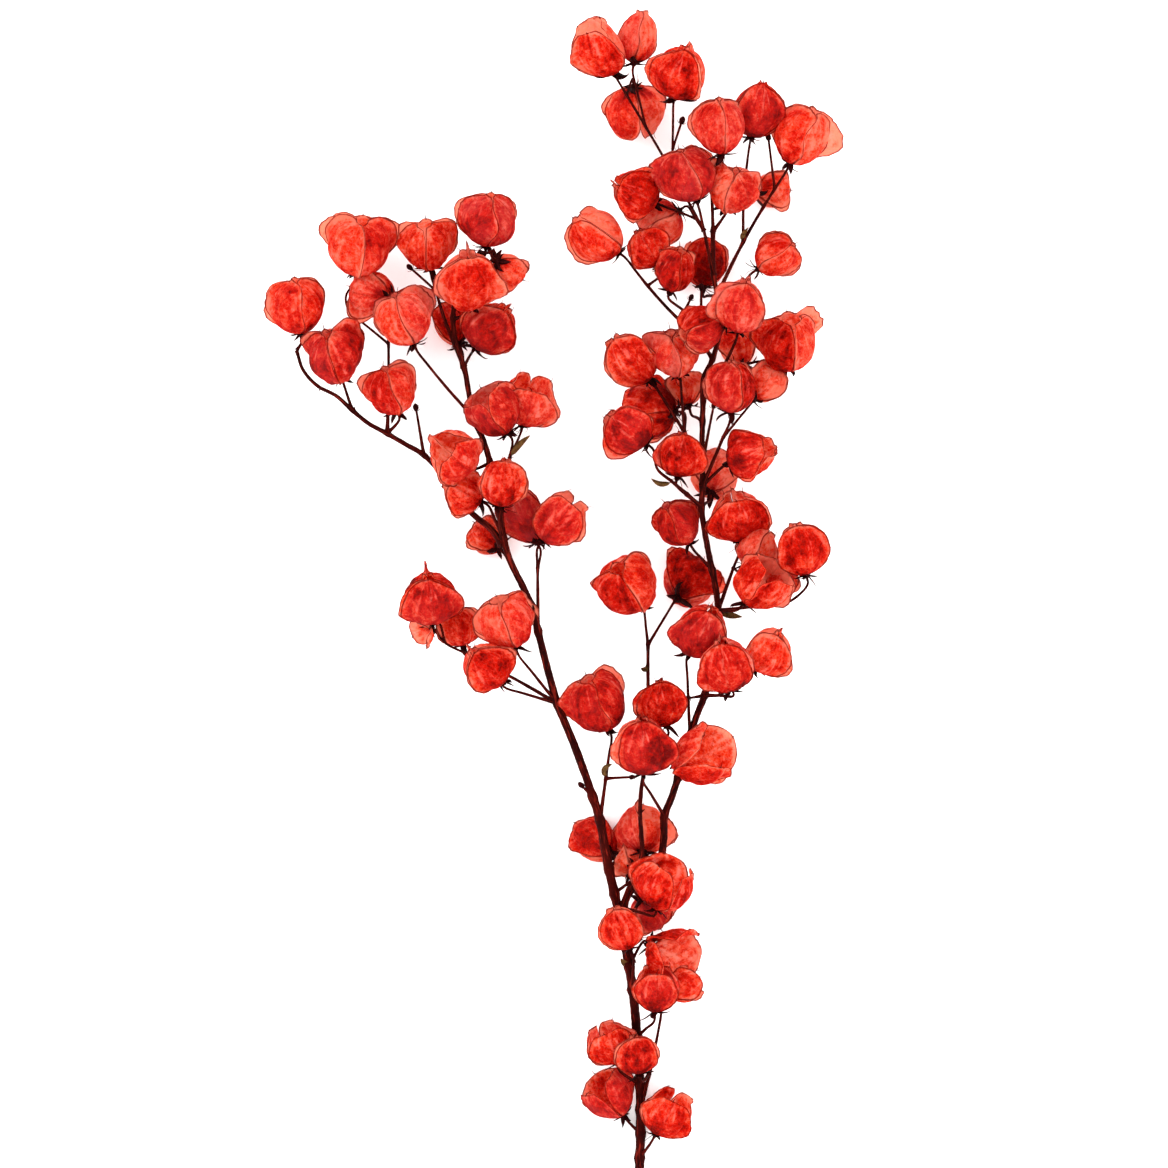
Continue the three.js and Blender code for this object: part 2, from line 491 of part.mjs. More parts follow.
// Twigs in their order, each from a step of its parent to its bloom or bud
function layTwigs(blooms, routes) {
  const byName = new Map(blooms.map((bloom) => [bloom.name, bloom]));
  const laid = [];
  for (const [name, parentName, leaves, via, bloomName] of TWIGS) {
    const parent = routes[parentName];
    const rootStep = nearestStep(parent, plan(...leaves));
    const root = parent.points[rootStep].clone();
    const bloom = byName.get(bloomName);
    const corners = [root];
    const end = bloom
      ? bloom.base.clone().addScaledVector(bloom.axis, -(BRACT_THICKNESS / 2 + CLEARANCE + SEPAL_RISE))
      : plan(via.at(-1)[0], via.at(-1)[1], via.at(-1)[2] ?? root.z + BUD_RISE);
    const way = bloom ? via : via.slice(0, -1);
    way.forEach(([column, line, height], k) => {
      const share = (k + 1) / (way.length + 1);
      corners.push(plan(column, line, height ?? THREE.MathUtils.lerp(root.z, end.z, share)));
    });
    const rootRadius = Math.min(parent.radii[rootStep] * ROOT_SHARE, name ? BRANCHED_RADIUS : TWIG_RADIUS);
    const endRadius = Math.min(rootRadius, STALK_RADIUS);
    if (bloom) corners.push(end.clone().addScaledVector(bloom.axis, -APPROACH));
    corners.push(end);
    const route = steppedRoute(corners, TWIG_STEP, rootRadius, endRadius);
    if (bloom && route.points.length > 2) {
      route.points.at(-2).copy(end).addScaledVector(bloom.axis, -APPROACH);
    }
    bendClear(route.points, rootRadius, blooms, bloom ? 2 : 0);
    if (name) routes[name] = route;
    laid.push({ ...route, name, bloom });
  }
  return laid;
}

// A closed tube with a ring of corners at each step. A calyx ends it in a star of pointed sepals.
function tube(points, radii, sides, calyx) {
  const positions = [];
  const faces = [];
  const tangent = new THREE.Vector3();
  const side = new THREE.Vector3(1, 0, 0);
  const up = new THREE.Vector3();
  const corner = (point, radius, turn) => {
    const spot = point.clone()
      .addScaledVector(side, radius * Math.cos(turn))
      .addScaledVector(up, radius * Math.sin(turn));
    positions.push(spot.x, spot.y, Math.max(spot.z, 0));
  };
  points.forEach((point, k) => {
    const before = points[Math.max(k - 1, 0)];
    const after = points[Math.min(k + 1, points.length - 1)];
    tangent.subVectors(after, before).normalize();
    if (k === 0 && Math.abs(tangent.x) > 0.8) side.set(0, 0, 1);
    side.addScaledVector(tangent, -side.dot(tangent)).normalize();
    up.crossVectors(tangent, side);
    for (let s = 0; s < sides; s += 1) corner(point, radii[k], 2 * Math.PI * (s + 0.5) / sides);
  });
  for (let k = 0; k < points.length - 1; k += 1) {
    for (let s = 0; s < sides; s += 1) {
      const a = k * sides + s;
      const b = k * sides + (s + 1) % sides;
      faces.push(a, b, b + sides, a, b + sides, a + sides);
    }
  }
  for (let s = 1; s < sides - 1; s += 1) faces.push(0, s + 1, s);
  const last = (points.length - 1) * sides;
  if (!calyx) {
    for (let s = 1; s < sides - 1; s += 1) faces.push(last, last + s, last + s + 1);
    return solidOf(positions, faces);
  }
  const star = last + sides;
  const end = points.at(-1).clone().addScaledVector(tangent, SEPAL_RISE);
  for (let s = 0; s < sides; s += 1) {
    corner(end, between(calyx, SEPAL_DRAW), 2 * Math.PI * (s + 0.5) / sides);
    corner(end, radii.at(-1) * SEPAL_NOTCH, 2 * Math.PI * (s + 1) / sides);
  }
  for (let s = 0; s < sides; s += 1) {
    const a = last + s;
    const b = last + (s + 1) % sides;
    const tip = star + 2 * s;
    const nextTip = star + 2 * ((s + 1) % sides);
    faces.push(a, tip + 1, tip, a, b, tip + 1, b, nextTip, tip + 1);
  }
  for (let s = 1; s < 2 * sides - 1; s += 1) faces.push(star + 1, star + 1 + s, star + (2 + s) % (2 * sides));
  return solidOf(positions, faces);
}

function solidOf(positions, faces) {
  return new wasm.Manifold(new wasm.Mesh({
    numProp: 3,
    vertProperties: new Float32Array(positions),
    triVerts: new Uint32Array(faces),
  }));
}

// The largest body alone: a hollow that joining sealed is filled, and a loose scrap is dropped
function oneBody(solid, name) {
  const bodies = solid.decompose().sort((one, other) => other.volume() - one.volume());
  if (bodies[1]?.volume() > SCRAP) throw new Error(`${name} is in more than one piece`);
  return bodies[0];
}

function geometryOf(solid) {
  const mesh = solid.getMesh();
  const geometry = new THREE.BufferGeometry();
  geometry.setAttribute("position", new THREE.BufferAttribute(new Float32Array(mesh.vertProperties), 3));
  geometry.setIndex(new THREE.BufferAttribute(new Uint32Array(mesh.triVerts), 1));
  return geometry;
}

// The middle surface of a bract: across runs from -1 to 1, along from 0 at the base to 1 at the tip
function bractPoint(bloom, bract, across, along, target) {
  const round = Math.min(along / TIP_FROM, 1);
  const tip = Math.max(along - TIP_FROM, 0) / (1 - TIP_FROM);
  const angle = Math.PI * (CLOSED - OPEN_LOSS * bract.open) * round;
  const edge = Math.abs(across);
  const swell = Math.sin(Math.PI * Math.min(along, 1));
  const flare = SEAM_FLARE * edge ** SEAM_SHARPNESS * swell * bract.flare;
  const curl = (TIP_CURL[0] + TIP_CURL[1] * bract.open) * tip * bract.curl;
  const ripple = Math.sin(WAVES_ALONG * along + WAVES_ACROSS * across + bract.phase);
  const wave = bract.wave * ripple * edge * swell;
  const out = bloom.radius * (FACE_SHARE * Math.sin(angle) + flare + curl) + wave;
  const body = BODY_SHARE * bloom.half * (1 - Math.cos(angle));
  const up = body + 2 * bloom.half * CROWN_TIP * tip * (1 - TIP_DROOP * bract.open);
  const taper = THREE.MathUtils.clamp((along - TAPER_FROM) / (1 - TAPER_FROM), 0, 1);
  const widen = THREE.MathUtils.lerp(BASE_WIDTH, 1, Math.min(1, along / BASE_LENGTH));
  const spread = HALF_WIDTH * widen * Math.cos(Math.PI / 2 * taper) ** TAPER_ROUNDNESS;
  const turn = bract.turn + across * spread;
  const radius = Math.max(out, HUB_RADIUS);
  target.set(radius * Math.cos(turn), radius * Math.sin(turn), up);
}

function bractShapes(bloom) {
  const draw = seededDraw(seedOf(bloom.name));
  return [0, 1, 2].map((k) => ({
    turn: bloom.firstBract + k * 2 * Math.PI / 3 + between(draw, TURN_DRAW),
    open: THREE.MathUtils.clamp(bloom.open + between(draw, OPEN_DRAW), 0, 1),
    curl: between(draw, CURL_DRAW),
    flare: between(draw, FLARE_DRAW),
    wave: between(draw, WAVE_DRAW),
    phase: between(draw, [0, 2 * Math.PI]),
  }));
}

// Rim and inner points of a bract, as across and along, and the triangles between them
const RIM = [[-1, 0.2], [-1, 0.52], [-0.98, 0.83], [0, 1], [0.98, 0.83], [1, 0.52], [1, 0.2]];
const INNER = [[0, 0.3], [0, 0.66]];

// One bloom as one closed skin: three bracts that leave a six-cornered hub
function bloomSolid(bloom) {
  const bracts = bractShapes(bloom);
  const middle = [];
  const normal = [];
  const at = new THREE.Vector3();
  const ahead = new THREE.Vector3();
  const aside = new THREE.Vector3();
  const faces = [];
  const rim = [];
  const hub = [];
  bracts.forEach((bract) => {
    for (const side of [-1, 1]) {
      hub.push(middle.length);
      const turn = bract.turn + side * HUB_CORNER;
      middle.push(new THREE.Vector3(HUB_RADIUS * Math.cos(turn), HUB_RADIUS * Math.sin(turn), 0));
      normal.push(new THREE.Vector3(0, 0, -1));
    }
  });
  for (let k = 1; k < 5; k += 1) faces.push([hub[0], hub[k + 1], hub[k]]);
  bracts.forEach((bract, index) => {
    const first = middle.length;
    for (const [across, along] of [...RIM, ...INNER]) {
      bractPoint(bloom, bract, across, along, at);
      bractPoint(bloom, bract, across, along + 0.01, ahead);
      bractPoint(bloom, bract, across + 0.05, along, aside);
      middle.push(at.clone());
      normal.push(aside.sub(at).cross(ahead.sub(at)).normalize().clone());
    }
    const low = hub[2 * index];
    const high = hub[2 * index + 1];
    const edge = (k) => first + k;
    const inner = (k) => first + RIM.length + k;
    faces.push(
      [low, high, inner(0)], [low, inner(0), edge(0)], [high, edge(6), inner(0)],
      [edge(0), inner(0), edge(1)], [inner(0), inner(1), edge(1)], [edge(1), inner(1), edge(2)],
      [edge(2), inner(1), edge(3)], [inner(1), edge(4), edge(3)], [inner(1), edge(5), edge(4)],
      [inner(0), edge(5), inner(1)], [inner(0), edge(6), edge(5)],
    );
    rim.push(low);
    for (let k = 0; k < RIM.length; k += 1) rim.push(edge(k));
    rim.push(high);
  });
  return skinSolid(bloom, middle, normal, faces, rim);
}

// Thickens a middle surface both ways and turns it into the bloom's place
function skinSolid(bloom, middle, normal, faces, rim) {
  const positions = [];
  const place = (point, away, offset, lowest) => {
    const spot = point.clone().addScaledVector(away, offset).applyQuaternion(bloom.upright).add(bloom.base);
    spot.z = Math.max(spot.z, lowest);
    positions.push(spot.x, spot.y, spot.z);
  };
  middle.forEach((point, k) => place(point, normal[k], BRACT_THICKNESS / 2, 0));
  middle.forEach((point, k) => place(point, normal[k], -BRACT_THICKNESS / 2, BRACT_THICKNESS));
  const count = middle.length;
  const triangles = [];
  for (const [a, b, c] of faces) {
    triangles.push(a, b, c, a + count, c + count, b + count);
  }
  for (let k = 0; k < rim.length; k += 1) {
    const a = rim[k];
    const b = rim[(k + 1) % rim.length];
    triangles.push(a, b, b + count, a, b + count, a + count);
  }
  return solidOf(positions, triangles);
}

function wood(routes, twigs) {
  const pieces = [];
  for (const name of Object.keys(MAIN_WOOD)) {
    const { points, radii } = routes[name];
    pieces.push(tube(points, radii, name === "stem" ? 6 : 5));
  }
  for (const twig of twigs) {
    const sides = twig.name ? 4 : 3;
    const calyx = twig.bloom ? seededDraw(seedOf(twig.bloom.name) + 5) : null;
    const radii = twig.radii.slice();
    if (!twig.bloom) radii[radii.length - 1] = BUD_RADIUS;
    pieces.push(tube(twig.points, radii, sides, calyx));
  }
  for (const [parentName, leaves, tipColumn, tipLine, rise] of DRY_LEAVES) {
    const parent = routes[parentName];
    const root = parent.points[nearestStep(parent, plan(...leaves))];
    const tip = plan(tipColumn, tipLine, root.z + rise);
    pieces.push(tube([root, root.clone().lerp(tip, LEAF_MIDDLE), tip], LEAF_RADII, 3));
  }
  return oneBody(wasm.Manifold.union(pieces).simplify(WOOD_TOLERANCE), "woody_stem");
}

const routes = {};
for (const [name, [rootRadius, endRadius, corners]] of Object.entries(MAIN_WOOD)) {
  const step = name === "stem" ? STEM_STEP : BRANCH_STEP;
  routes[name] = steppedRoute(corners.map((corner) => plan(...corner)), step, rootRadius, endRadius);
}
const blooms = planBlooms();
settle(blooms, Object.values(routes));
const twigs = layTwigs(blooms, routes);

const bract = new THREE.MeshStandardMaterial({ color: 0xc93a2b, roughness: 0.65, metalness: 0 });
const bark = new THREE.MeshStandardMaterial({ color: 0x44130c, roughness: 0.6, metalness: 0 });
const spray = new THREE.Group();
const addNode = (name, solid, material) => {
  const mesh = new THREE.Mesh(geometryOf(solid), material);
  mesh.name = name;
  spray.add(mesh);
};

addNode("woody_stem", wood(routes, twigs), bark);
for (const group of bloomGroups(blooms)) {
  const name = "bloom_" + group.map((bloom) => bloom.name).join("_");
  addNode(name, oneBody(wasm.Manifold.union(group.map(bloomSolid)), name), bract);
}

// The origin goes under the middle of the spray
const box = new THREE.Box3().setFromObject(spray);
const centre = box.getCenter(new THREE.Vector3());
spray.position.set(-centre.x, -centre.y, -box.min.z);
spray.updateMatrixWorld(true);

export default spray;
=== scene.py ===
"""A cut spray of dried bougainvillea, lying on a pale floor.

The file is laid out as a Blender add-on and is run as a script. Its pieces are the papery blooms, the woody
stem with its twigs and buds, the spiky sepals with their curled threads, and the small dry leaves. Blooms,
branches and twigs lie where the frame's solids lie, because the tables and the rules that place them are the
same: a plan seen from above, in columns and rows of 0.6 mm, and a rule that lets blooms press each other
apart. Layout is worked out in millimetres, and every mesh is written in metres in the frame.
"""

import math
from bisect import bisect_right
from functools import lru_cache

import bpy
import numpy as np
from bpy.props import FloatProperty, FloatVectorProperty, IntProperty, PointerProperty
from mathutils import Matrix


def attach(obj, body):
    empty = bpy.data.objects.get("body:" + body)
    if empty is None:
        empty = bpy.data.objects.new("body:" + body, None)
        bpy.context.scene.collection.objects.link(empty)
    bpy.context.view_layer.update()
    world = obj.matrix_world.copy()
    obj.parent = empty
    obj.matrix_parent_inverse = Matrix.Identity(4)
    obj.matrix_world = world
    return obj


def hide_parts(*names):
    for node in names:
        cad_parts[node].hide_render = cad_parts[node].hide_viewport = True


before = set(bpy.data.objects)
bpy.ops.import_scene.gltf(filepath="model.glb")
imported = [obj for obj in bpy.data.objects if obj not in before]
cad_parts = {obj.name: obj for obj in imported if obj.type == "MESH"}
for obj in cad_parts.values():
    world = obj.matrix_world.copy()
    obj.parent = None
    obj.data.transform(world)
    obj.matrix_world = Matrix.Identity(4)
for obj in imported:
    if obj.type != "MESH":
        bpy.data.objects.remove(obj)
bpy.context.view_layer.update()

bl_info = {
    "name": "Dried bougainvillea spray",
    "version": (1, 0, 0),
    "blender": (4, 5, 0),
    "location": "3D View > Sidebar > Spray",
    "description": "Builds a dried bougainvillea spray, its floor, its lights and its camera",
    "category": "Object",
}

MM = 0.001
UNIT = 0.6  # mm to a column or row of the plan
STEM_COLUMN = 640
FOOT_ROW = 1168
CUT_ROW = 1212  # plan row of the stem's cut end
PICTURE_SIDE = 1168  # columns and rows that the picture takes in

# Draws are pairs of limits. The seed of a bloom's draws is its name and one of these
CIRCLE = (0, 2 * math.pi)
ABOUT_A_CIRCLE = (0, 6.3)
SHEET_SEED = 11
CALYX_SEED = 29

# How a bloom is shaped, in shares of its radius and length
LEAST_LENGTH = 0.9
MOST_FLAT = 0.96
OPEN_DRAW = (-0.11, 0.11)
CURL_DRAW = (-0.5, 1.1)
FLARE_DRAW = (0.8, 1.2)
WAVE_DRAW = (0.35, 0.85)
TURN_DRAW = (-0.01, 0.01)

# How blooms settle against each other, the wood and the floor
SETTLE_PASSES = 90
SIDEWAYS = 0.6
BLOOM_GAP = 0.8
WOOD_GAP = 1.8
HOME_PULL = 0.12
STALK_ROOM = 2.2
FLOOR_REST = 0.62
SEARCH = 3  # how many reaches off a neighbour is still looked for

# How twigs run
STEM_STEP = 15
BRANCH_STEP = 13
TWIG_STEP = 11
TWIG_GAP = 2.0
TWIG_LIFT = 0.2
BEND_PASSES = 60
BEND_SMOOTHING = 0.2
STALK_RADIUS = 0.62
TWIG_RADIUS = 0.95
BRANCHED_RADIUS = 1.1
ROOT_SHARE = 0.92
APPROACH = 5
BUD_RISE = 2
STALK_END = 0.9  # a stalk ends this far below its bloom's base
CURVE_SAMPLES = 200
LEAST_SPAN = 1e-4  # steps of a curve shorter than this count as none

# The body of a bract, in shares of its bloom's radius and of its own length and width
BROAD_BODY = 0.92
FACE_SHARE = 0.88
BODY_HEIGHT = 0.95
MOST_CLOSED = 0.95
OPENING = 0.55
OPEN_SPREAD = 0.55  # an opened bract keeps some of its length, so it reaches further
BASE_LENGTH = 0.12
BASE_WIDTH = 0.72
HALF_WIDTH = math.radians(59.95)
TAPER_FROM = 0.7
TAPER_POWER = 2.3
TAPER_ROUNDNESS = 0.6
OPEN_TAPER = (0.38, 0.5, 0.25)  # what opening takes off the first two of these and adds to the third
TIP_FROM = 0.84
TIP_WIDTH = 0.05
TIP_CURL = 0.02
OPEN_TIP_CURL = 0.25
TIP_DROOP = 0.7
CROWN_TIP = 0.07
CROWN_FROM = 0.8
DIP_FROM = 0.6
DIP_DRAW = (-0.14, 0.07)  # how far the crown sinks in, as a share of the bloom's length
BOW_DRAW = (-0.2, 0.2)  # how far the seams bow to one side, in radians
WAVES_ALONG = 9
WAVES_ACROSS = 4
SEAM_FLARE = 0.05
SEAM_SHARPNESS = 2.4
SEAM_SQUEEZE = 1.6
HUB_RADIUS = 1.5
SHEET_LIFT = 0.6  # mm that a bract pressed on the floor keeps above it
ACROSS_POINTS = 23
ALONG_POINTS = 31

# The margins of a bract, which stand out as wings, in bloom radii
WING_FROM = 0.74  # share of the half width where a wing starts
WING_STEP = 0.25  # share of its height that it has from its start
WING_STEEP = 0.35
WING_LIFT = (0.08, 0.5)  # shares of the length between which a wing comes to stand up with the body
WING_DRAW = (0.24, 0.38)
WING_STEP_DRAW = (0.02, 0.13)
LEAST_WING = 0.04
TALLEST_WING = 0.3  # beyond this a margin stands out only in the middle of its length
BROAD_POWER = 1.8
NARROW_STAND = 0.6  # share of its height that a wing keeps where the bract is narrow
CROWN_FADE = (0.5, 0.95)
CROWN_DROP = 0.85  # share of a margin's height that it has lost at the bract's point
LOWER_IS_TALL = 0.8  # share of seams where the lower bract's margin stands out further
RIPPLE_DRAW = (0.03, 0.1)
BEATS_DRAW = (1.2, 2.8)
LEAN_DRAW = (-0.06, 0.06)
NOTCH_BEATS_DRAW = (1.2, 3.4)
NOTCH_HEIGHT = 0.18
FRILL_HEIGHT = 0.06
FRILL_BEATS = 4.3

# Dents, folds and swells of a bract, in bloom radii
DENTS = 5
DENT_DRAW = (-0.08, 0.06)
DENT_ACROSS_DRAW = (-0.6, 0.6)
DENT_ALONG_DRAW = (0.2, 0.85)
DENT_WIDTH_DRAW = (0.18, 0.5)
DENT_LENGTH_DRAW = (0.08, 0.24)
FOLD_HEIGHT = 0.014
FOLD_BEATS_DRAW = (1.6, 2.8)
FOLD_SLANT_DRAW = (-0.5, 0.5)
GROOVE_DEPTH = 0.025
GROOVE_WIDTH = 0.1
CRUMPLE = 1.9  # how much more a crumpled bloom is dented and folded
WARPS = 4
WARP_DRAW = (1.0, 2.6)  # beats of a swell in a radius, in radians
WARP_HEIGHT = 0.025
WARP_HELD = (0.15, 1.1)  # radii from the base between which a swell grows to its full height

# How deep or pale the dye is: 0 is deep red and 1 is salmon. Painted shade and painted light below shift it
# too
MEAN_TINT = 0.46
BLOOM_TINT_DRAW = (-0.2, 0.2)
BRACT_TINT_DRAW = (-0.16, 0.16)
TINT_STEP = 0.2
FACING_SHADE = 0.2  # painted shade: a bract that faces up, towards the light, is coloured deeper than those beside and under it, as where layers lie behind it
# The same painted shade, stronger, for blooms with one broad bract
BROAD_FACING_SHADE = 0.34
# Painted light: blooms that face down are coloured paler, to lift the shade of the blooms above them
UNDER_PAINTED_LIGHT = 0.12
LEAST_TINT = 0.33
SHEEN_DRAW = (-0.9, 0.7)  # share of a painted rose sheen over a bract, and none below 0
SHEEN_STEP = 0.7
# Blooms dyed paler than the rest; r03 is among them as painted light, to lift the shade of r04 and r01 above
# it
PALE = ("r01", "r02", "r03", "r08", "r12", "r13", "r17", "r24", "r26", "r31", "r34", "r37", "r47b", "l04",
        "l10", "l18", "l23", "l01", "l07", "l09")
DEEP = ("r04", "r06", "r14", "r15", "r27", "r39", "r44", "r47a", "r52", "r57", "l11", "l02", "l12", "l20")
# Blooms with more of the painted rose sheen
ROSE_SHEENED = ("r02", "r05", "r09", "r16", "r18", "r21", "r29", "r32", "r41", "r45", "r49", "l03", "l06", "l08",
         "l13a", "l17")
CRUMPLED = ("r10", "r14", "r15", "r18", "r21", "r29", "r30", "r36", "r41", "r46", "r51", "l02", "l03", "l07",
            "l09", "l13a", "l13b", "l17", "l18", "l23")

# Blooms with one broad bract that shows beyond the others: which way it points in the plan, in degrees
# from the plan's right, and how far its margin stands out, in bloom radii
BROAD_WINGS = {
    "r04": (20, 0.46), "r06": (150, 0.42), "r07": (-25, 0.72), "r22": (20, 0.62), "r18": (190, 0.5),
    "r43": (20, 0.42), "l09": (20, 0.4), "r40": (205, 0.36), "l02": (40, 0.5), "l06": (10, 0.4),
    "r33": (10, 0.4), "r01": (110, 0.45), "r30": (-20, 0.4), "r13": (200, 0.4), "r36": (0, 0.4),
    "l23": (170, 0.42), "r45": (180, 0.4),
}

# Where along its length that margin is broadest, and the share of the usual that a bloom's other margins
# stand out
MIDWAY = 0.5
BROADEST_AT = {"r07": 0.36, "r22": 0.6, "r01": 0.6, "l02": 0.6}
WING_SHARES = {"r38": 0.45, "r40": 0.8}

# Bows, dips and openings that aren't left to a draw or to the plan
BOWS = {"r04": -0.3, "r05": 0.08, "r07": -0.3, "r09": 0.06, "r10": -0.1, "l08": 0.2, "l04": 0.1, "l06": -0.15,
        "r38": -0.12, "r43": 0.1, "l24": 0.15, "r06": 0.3, "r25": 0.1, "r13": 0.1}
DIPS = {"l04": 0.07, "l06": 0.05, "r09": 0.05, "r38": 0.04, "r43": 0.05, "r44": 0.05, "r04": 0.0, "r05": 0.0,
        "r07": 0.02, "l01": 0.0, "l08": 0.0, "l23": 0.05}
OPENINGS = {"r46": 0.7, "r12": 0.6, "r40": 0.15, "r38": 0.2, "l02": 0.15, "l07": 0.25, "r51": 0.7, "r56": 0.7,
            "r57": 0.62, "r54": 0.58, "l18": 0.62, "l17": 0.62, "l13b": 0.64, "l13a": 0.58, "r36": 0.62,
            "r30": 0.5, "r48": 0.6, "r53": 0.62, "r47a": 0.5, "r52": 0.5, "l21": 1.0}

# Blooms that are made as one piece each, by the part of the spray they are in
CLUSTERS = {
    "top_left_tip": ("r01", "r02", "r03", "r04"),
    "top_right_tip": ("r05", "r06", "r07", "r08"),
    "upper_middle": ("r09", "r10", "r11", "r12", "r13", "r14", "r15"),
    "upper_right": ("r16", "r17", "r18", "r19", "r22", "r23", "r24", "r25"),
    "upper_left": ("r20", "r21", "r26", "r27", "r28", "r29"),
    "right_shoulder": ("r30", "r31", "r32", "r33", "r34", "r35", "r36", "r37"),
    "centre": ("r38", "r39", "r40", "r41", "r42"),
    "lower_centre": ("r43", "r44", "r45", "r46"),
    "lower_stem": ("r47a", "r47b", "r47c", "r48", "r49", "r50", "r51", "r52", "r53"),
    "stem_foot": ("r54", "r55", "r56", "r57"),
    "far_left": ("l01", "l02", "l03"),
    "left_top": ("l04", "l05", "l06", "l07", "l08", "l09", "l10", "l11", "l12"),
    "left_middle": ("l13a", "l13b", "l14", "l15", "l16", "l17", "l18", "l19"),
    "left_low": ("l20", "l21", "l22", "l23", "l24"),
}

# Wood, in mm and in shares of its radius
WOOD_STEP = 2.0
WOOD_SHARE = 1.15
THICK_WOOD_SHARE = 0.96
THICK_WOOD = (2.4, 2.95)  # radii between which the one share gives way to the other
COLLAR_LENGTH = 1.8
ROOT_COLLAR = 0.55
STALK_COLLAR = 0.45
KNUCKLE_HEIGHT = 0.28
KNUCKLE_LENGTH = 2.4
KNUCKLE_REACH = 100.0
LEAST_KNUCKLED = 5  # a route with no more points than this has no knuckles
PRONG_SPACING = 22  # steps between spurs
FIRST_PRONG_DRAW = (0.4, 1)
PRONG_GAP_DRAW = (0.6, 1.5)
PRONG_STRAY_DRAW = (-0.6, 0.6)
PRONG_TILT_DRAW = (-0.5, 0.7)
PRONG_DRAW = (0.9, 2.8)
PRONG_LEAN = 0.7  # how far a spur leans ahead
PRONG_PROFILE = ((0, 0.6), (0.5, 0.5), (0.8, 0.38), (1, 0.16))  # share of its length, and radius
CUT_SHARE = 0.9
CUT_PROFILE = ((1.0, -0.6), (1.0, 0.05), (0.9, 0.2), (0.05, 0.22))  # share of the radius, and mm along
CUT_SIDES = 24

# Cups, sepals and threads at a bloom's base, in mm and radians
CUP_PROFILE = ((0.8, -2.6), (1.3, -2.0), (2.0, -0.9), (2.4, 0.0), (2.0, 0.8), (0.6, 1.1))
CUP_SIDES = 10
MERIDIAN_START = (0.9, -0.45)  # where a sepal or a thread leaves the cup, out and up
SEPAL_COUNT_DRAW = (5, 8)
SEPAL_TURN_DRAW = (-0.35, 0.35)
SEPAL_SWAY_DRAW = (-0.5, 0.5)
SEPAL_LENGTH_DRAW = (5, 11)
SEPAL_WIDTH_DRAW = (2.8, 4.8)
SEPAL_FOLD_DRAW = (-0.5, 0.2)
SEPAL_POINT = 0.14  # width that a sepal keeps at its point
SEPALS_THAT_HUG = 0.5
HUG_DRAW = (-0.12, 0.0)
HUG_BEND_DRAW = (0.55, 0.95)
SPLAY_DRAW = (-1.1, -0.2)
SPLAY_BEND_DRAW = (-0.9, 1.5)
SEPAL_THICKNESS = 0.5
SEPAL_STEPS = 9
SEPAL_OUTLINE = (0.8 + 0.7 * np.linspace(0, 1, SEPAL_STEPS)) * (1 - np.linspace(0, 1, SEPAL_STEPS) ** 1.5)
CALYX_SHARES = {"r04": 1.7, "r01": 1.3, "r02": 1.2, "r05": 1.2, "r39": 1.2, "r17": 0.8}
THREAD_COUNT_DRAW = (0, 2.4)
THREAD_LENGTH_DRAW = (6, 13)
THREAD_LEAN_DRAW = (-1.0, -0.1)
THREAD_BEND_DRAW = (-2.4, 2.2)
THREAD_SWAY_DRAW = (-0.9, 0.9)
THREAD_WIDTH = 0.6
THREAD_STEPS = 12
TIP_THREAD_DRAW = (1.4, 3.4)
TIP_THREAD_BEND_DRAW = (-0.9, 0.9)
TIP_THREAD_TWIST_DRAW = (-0.7, 0.7)
TIP_THREAD_ROOT = -0.25  # share of its length that a bract's point starts inside the bract
TIP_THREAD_WIDTHS = (0.7, 0.16)
TIP_THREAD_THICKNESS = 0.3
TIP_THREAD_STEPS = 6

# Buds and small leaves, in mm and radians
BUD_DRAW = (0.9, 1.3)
BUD_LUMP_DRAW = (0.92, 1.08)
BUD_PROFILE = ((0.7, -0.4), (1.2, 0.3), (1.5, 1.2), (1.4, 2.1), (0.9, 2.9), (0.25, 3.4))
BUD_SIDES = 10
BUD_SCALE_WIDTHS = (0.7, 0.9, 0.7, 0.4, 0.12)
BUD_SCALE_LENGTH = 2.2
BUD_SCALE_THICKNESS = 0.25
BUD_SCALE_BEND = (0.2, 1.5)  # how far out a scale starts, and how far it bends
BUD_SCALE_TURN = 2.1  # from one scale to the next
LEAF_STEPS = 10
LEAF_OUTLINE = np.sin(math.pi * np.clip(np.linspace(0.05, 0.97, LEAF_STEPS), 0, 1)) ** 0.8
LEAF_WIDTH_DRAW = (3.4, 5.0)
LEAF_CURL_DRAW = (-0.22, 0.22)
LEAF_LEAN_DRAW = (-0.7, 0.7)
LEAF_TWIST_DRAW = (-0.8, 0.8)
LEAF_RISE = 0.18  # how far its tip rises, in its length
LEAF_STALK = 0.8
LEAF_FOLD = 0.55
LEAF_THICKNESS = 0.35
LEAST_BLADE = 0.16  # how wide a leaf is at least
ANY_SIDE = (0.31, 0.17, 0.94)  # a direction that no stem or twig runs along
FLOOR_GAP = 0.05
CREASE_ANGLE = math.radians(60)

# Spots and streaks of the finishes
FINER = 7.0  # how much finer the speckle of a mottle is than its blotches
STREAK_SHIFT = 19.0  # how far apart the streaks of differently dyed bracts lie in their noise
STREAKS_ACROSS = 11.0
STREAKS_ALONG = 2.4
BARK_ROUND = 1.6
BARK_ALONG = 70.0
WART = (0.05, 0.22)
FREE_OF_RIM = (0.4, 4.0)  # mm from the rim between which creases grow to their full height

# Veins of a bract: half their width, how many side veins climb it, and how they bow and wander
MIDDLE_VEIN = 0.035
SIDE_VEIN = 0.07
SIDE_VEINS = 7.0
VEIN_BOW_POWER = 0.7
VEIN_BOW = 0.42
VEIN_WANDER = 0.06
VEIN_FADE = (0.75, 1.0)  # shares of the half width between which side veins run out
NET_WANDER = 0.0022
NET_THREAD = 0.15

